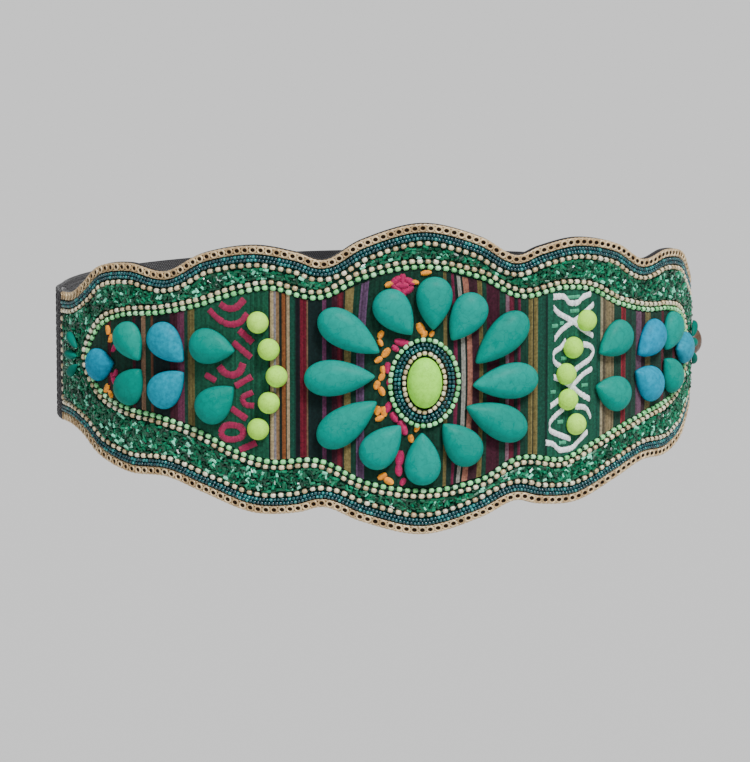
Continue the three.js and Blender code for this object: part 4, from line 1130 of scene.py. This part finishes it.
WHITE = [
    [(52.8, 28.6), (57.4, 28.3), (59.6, 26), (61.4, 25.6), (63.8, 25.7), (66, 27.4), (69.6, 28.4)],
    [(52.9, 24.4), (54.6, 22.6), (57.6, 20.8), (61.6, 18.6), (65.6, 15.6), (70.8, 12.6)],
    [(53.4, 12.8), (55.4, 15), (58, 16.8), (61.6, 18.6), (66, 21), (71, 24.2)],
    [(58, 11.4), (56, 9.2), (53, 7.4), (53, 4.4), (55.6, 2.2), (58.6, 0.6)],
    [(66.6, 9.6), (69.8, 8.6), (71.4, 6.6), (69.6, 3.8), (66, 2), (62.6, 0.2)],
    [(53.2, -1.8), (56.6, -3.4), (61.2, -6), (65.4, -9.2), (69.4, -11.4)],
    [(70.4, -0.2), (66.6, -1.8), (63.6, -4), (61.2, -6), (57.2, -9.4), (51.8, -12.6)],
    [(57.4, -14.2), (54, -16.4), (51.4, -19), (51.4, -21.6), (54.4, -23.4), (60.4, -25.8)],
    [(63, -13.8), (67.4, -14.6), (69, -16.2), (70, -18.2)],
    [(49.8, -26.4), (52.8, -27.2), (55.6, -29.6), (58, -29.8), (61.4, -29.4), (64.6, -27),
     (68.4, -24.2)],
]
DARNED = [
    (1.1, [(59, 27.9), (64.6, 27.9)]), (1.2, [(60.4, 22.6), (64, 22.6)]),
    (1.3, [(52.2, 17.6), (54.4, 17.6)]), (1.1, [(55.8, 18.4), (57, 18.4)]), (1.2, [(56.4, 5), (58.4, 5)]),
    (1.2, [(51.8, -7.4), (53.6, -7.4)]), (1.2, [(66, -6), (68.4, -6)]), (1.3, [(55, -19), (57, -19)]),
    (1.2, [(55.8, -27), (58.4, -27)]),
]
ORANGE = [  # s, z, turn, length, width
    (-15.8, 17.4, 60, 3.2, 2), (-16, 14.4, 120, 2.8, 1.8), (-13.8, 10.6, 50, 4, 2.4),
    (-16.6, 8, 30, 3.2, 2), (-15, 4.2, 100, 3, 1.8), (-15.4, 1.6, 60, 3, 2), (-17.2, -1.4, 70, 3.4, 2.2),
    (-15.4, -3.8, 115, 3.4, 2.2), (-17, -11, 80, 3.4, 2.2), (-14.6, -11.4, 100, 3.8, 2.4),
    (-16.2, -14, 20, 3.4, 2), (-0.8, 19.4, 115, 4.6, 2.8), (0.6, 17.2, 60, 3, 2),
    (3.4, 17.2, 60, 2.4, 1.6), (-2.2, -18.2, 60, 2.6, 1.6), (-4.4, -21.8, 100, 3, 2),
    (-15.2, -35.8, 30, 3.6, 2.2), (-12.8, -37.6, 150, 3.8, 2.4), (1.2, 40, 5, 4, 1.8),
    (-12.6, 36, 20, 3.4, 2), (-3, 36.6, 170, 2.8, 1.6), (-126.6, 14.6, 100, 3.4, 2.4),
    (-125, 11.6, 60, 3.2, 2.2), (-127.6, -7.6, 60, 3.4, 2.4), (-125.4, -9.8, 120, 3, 2),
    (120.6, -12.6, 60, 3, 2),
]
PINK = [
    (-7.6, 14.2, 165, 6.4, 2.6), (-10.4, 12.2, 140, 3, 2), (-13.2, 5, 90, 4.2, 2.2),
    (-12.6, -0.4, 80, 3, 1.8), (-13, -9.8, 70, 4, 2.4), (-10.8, -13.6, 120, 4.2, 2.4),
    (-7.6, -17.6, 115, 6, 3), (-8.6, -29.2, 82, 6, 3), (-9, -33.6, 95, 4.4, 2.6), (-7.4, -38, 60, 3, 2),
    (-10.2, 37.4, 40, 4.2, 2.4), (-10.2, 34.6, 140, 4.2, 2.4), (-5, 37, 150, 4.2, 2.4),
    (-5.4, 33.8, 30, 4.2, 2.4), (-7.6, 38.2, 90, 3.4, 2.4), (-7.8, 35.6, 0, 4.8, 3),
    (-7.4, 32.8, 90, 3, 2.4), (-123.4, 8.2, 60, 3.4, 1.8), (-124, -3.6, 110, 4.4, 2),
    (-122.6, -1.2, 60, 3, 1.8),
]
satin("magenta_embroidery", MAGENTA, 0.42, (152, 8, 70), 0.3)
satin("white_lattice", [(2.0, pts) for pts in WHITE], 0.5, (240, 243, 248), 0.35, across=math.pi / 2)
satin("mint_darning", DARNED, 0.45, (62, 168, 128), 0.25, across=math.pi / 2)
grains("orange_grains", ORANGE, (250, 158, 20))
grains("pink_grains", PINK, (180, 8, 88))


# Stage, lights and camera
def floor():
    bpy.ops.mesh.primitive_circle_add(vertices=64, radius=60, fill_type="NGON", location=(0, 0, -0.95))
    piece = bpy.context.object
    piece.name = "floor"
    material, _, shader = surface("pale floor", Roughness=0.9)
    shader.inputs["Base Color"].default_value = (0.7, 0.7, 0.7, 1)
    piece.data.materials.append(material)


def lamp(name, kind, where, power, **settings):
    """A lamp that stands at a place, or in that direction, and points at the belt."""
    data = bpy.data.lights.new(name, kind)
    data.energy = power
    for key, value in settings.items():
        setattr(data, key, value)
    x, y, z = where
    piece = bpy.data.objects.new(name, data)
    piece.location = where
    piece.rotation_euler = (math.atan2(math.hypot(x, y), z), 0, math.atan2(-x, y) + math.pi)
    bpy.context.scene.collection.objects.link(piece)


floor()
lamp("key", "SUN", (0.34, -0.95, 1.25), 4.2, angle=math.radians(14))
lamp("gloss", "AREA", (-0.7, -1.3, 0.95), 3.5, shape="DISK", size=0.4)
world = bpy.data.worlds.new("studio")
world.use_nodes = True
world.node_tree.nodes["Background"].inputs["Color"].default_value = (1, 1, 1, 1)
world.node_tree.nodes["Background"].inputs["Strength"].default_value = 0.32
bpy.context.scene.world = world

CAMERA_DISTANCE, CAMERA_AZIMUTH, CAMERA_ELEVATION = 1.7, math.radians(11), math.radians(8.7)
FOCAL_PIXELS, IMAGE_HEIGHT, AIM_LOWER, SENSOR_WIDTH = 4350, 762, math.radians(0.5), 36
camera_data = bpy.data.cameras.new("camera")
camera_data.sensor_width = SENSOR_WIDTH
camera_data.lens = SENSOR_WIDTH * FOCAL_PIXELS / IMAGE_HEIGHT
camera = bpy.data.objects.new("camera", camera_data)
camera.location = (
    -CAMERA_DISTANCE * math.cos(CAMERA_ELEVATION) * math.sin(CAMERA_AZIMUTH),
    -CAMERA_DISTANCE * math.cos(CAMERA_ELEVATION) * math.cos(CAMERA_AZIMUTH),
    CAMERA_DISTANCE * math.sin(CAMERA_ELEVATION),
)
camera.rotation_euler = (math.pi / 2 - CAMERA_ELEVATION - AIM_LOWER, 0, -CAMERA_AZIMUTH)
bpy.context.scene.collection.objects.link(camera)
bpy.context.scene.camera = camera
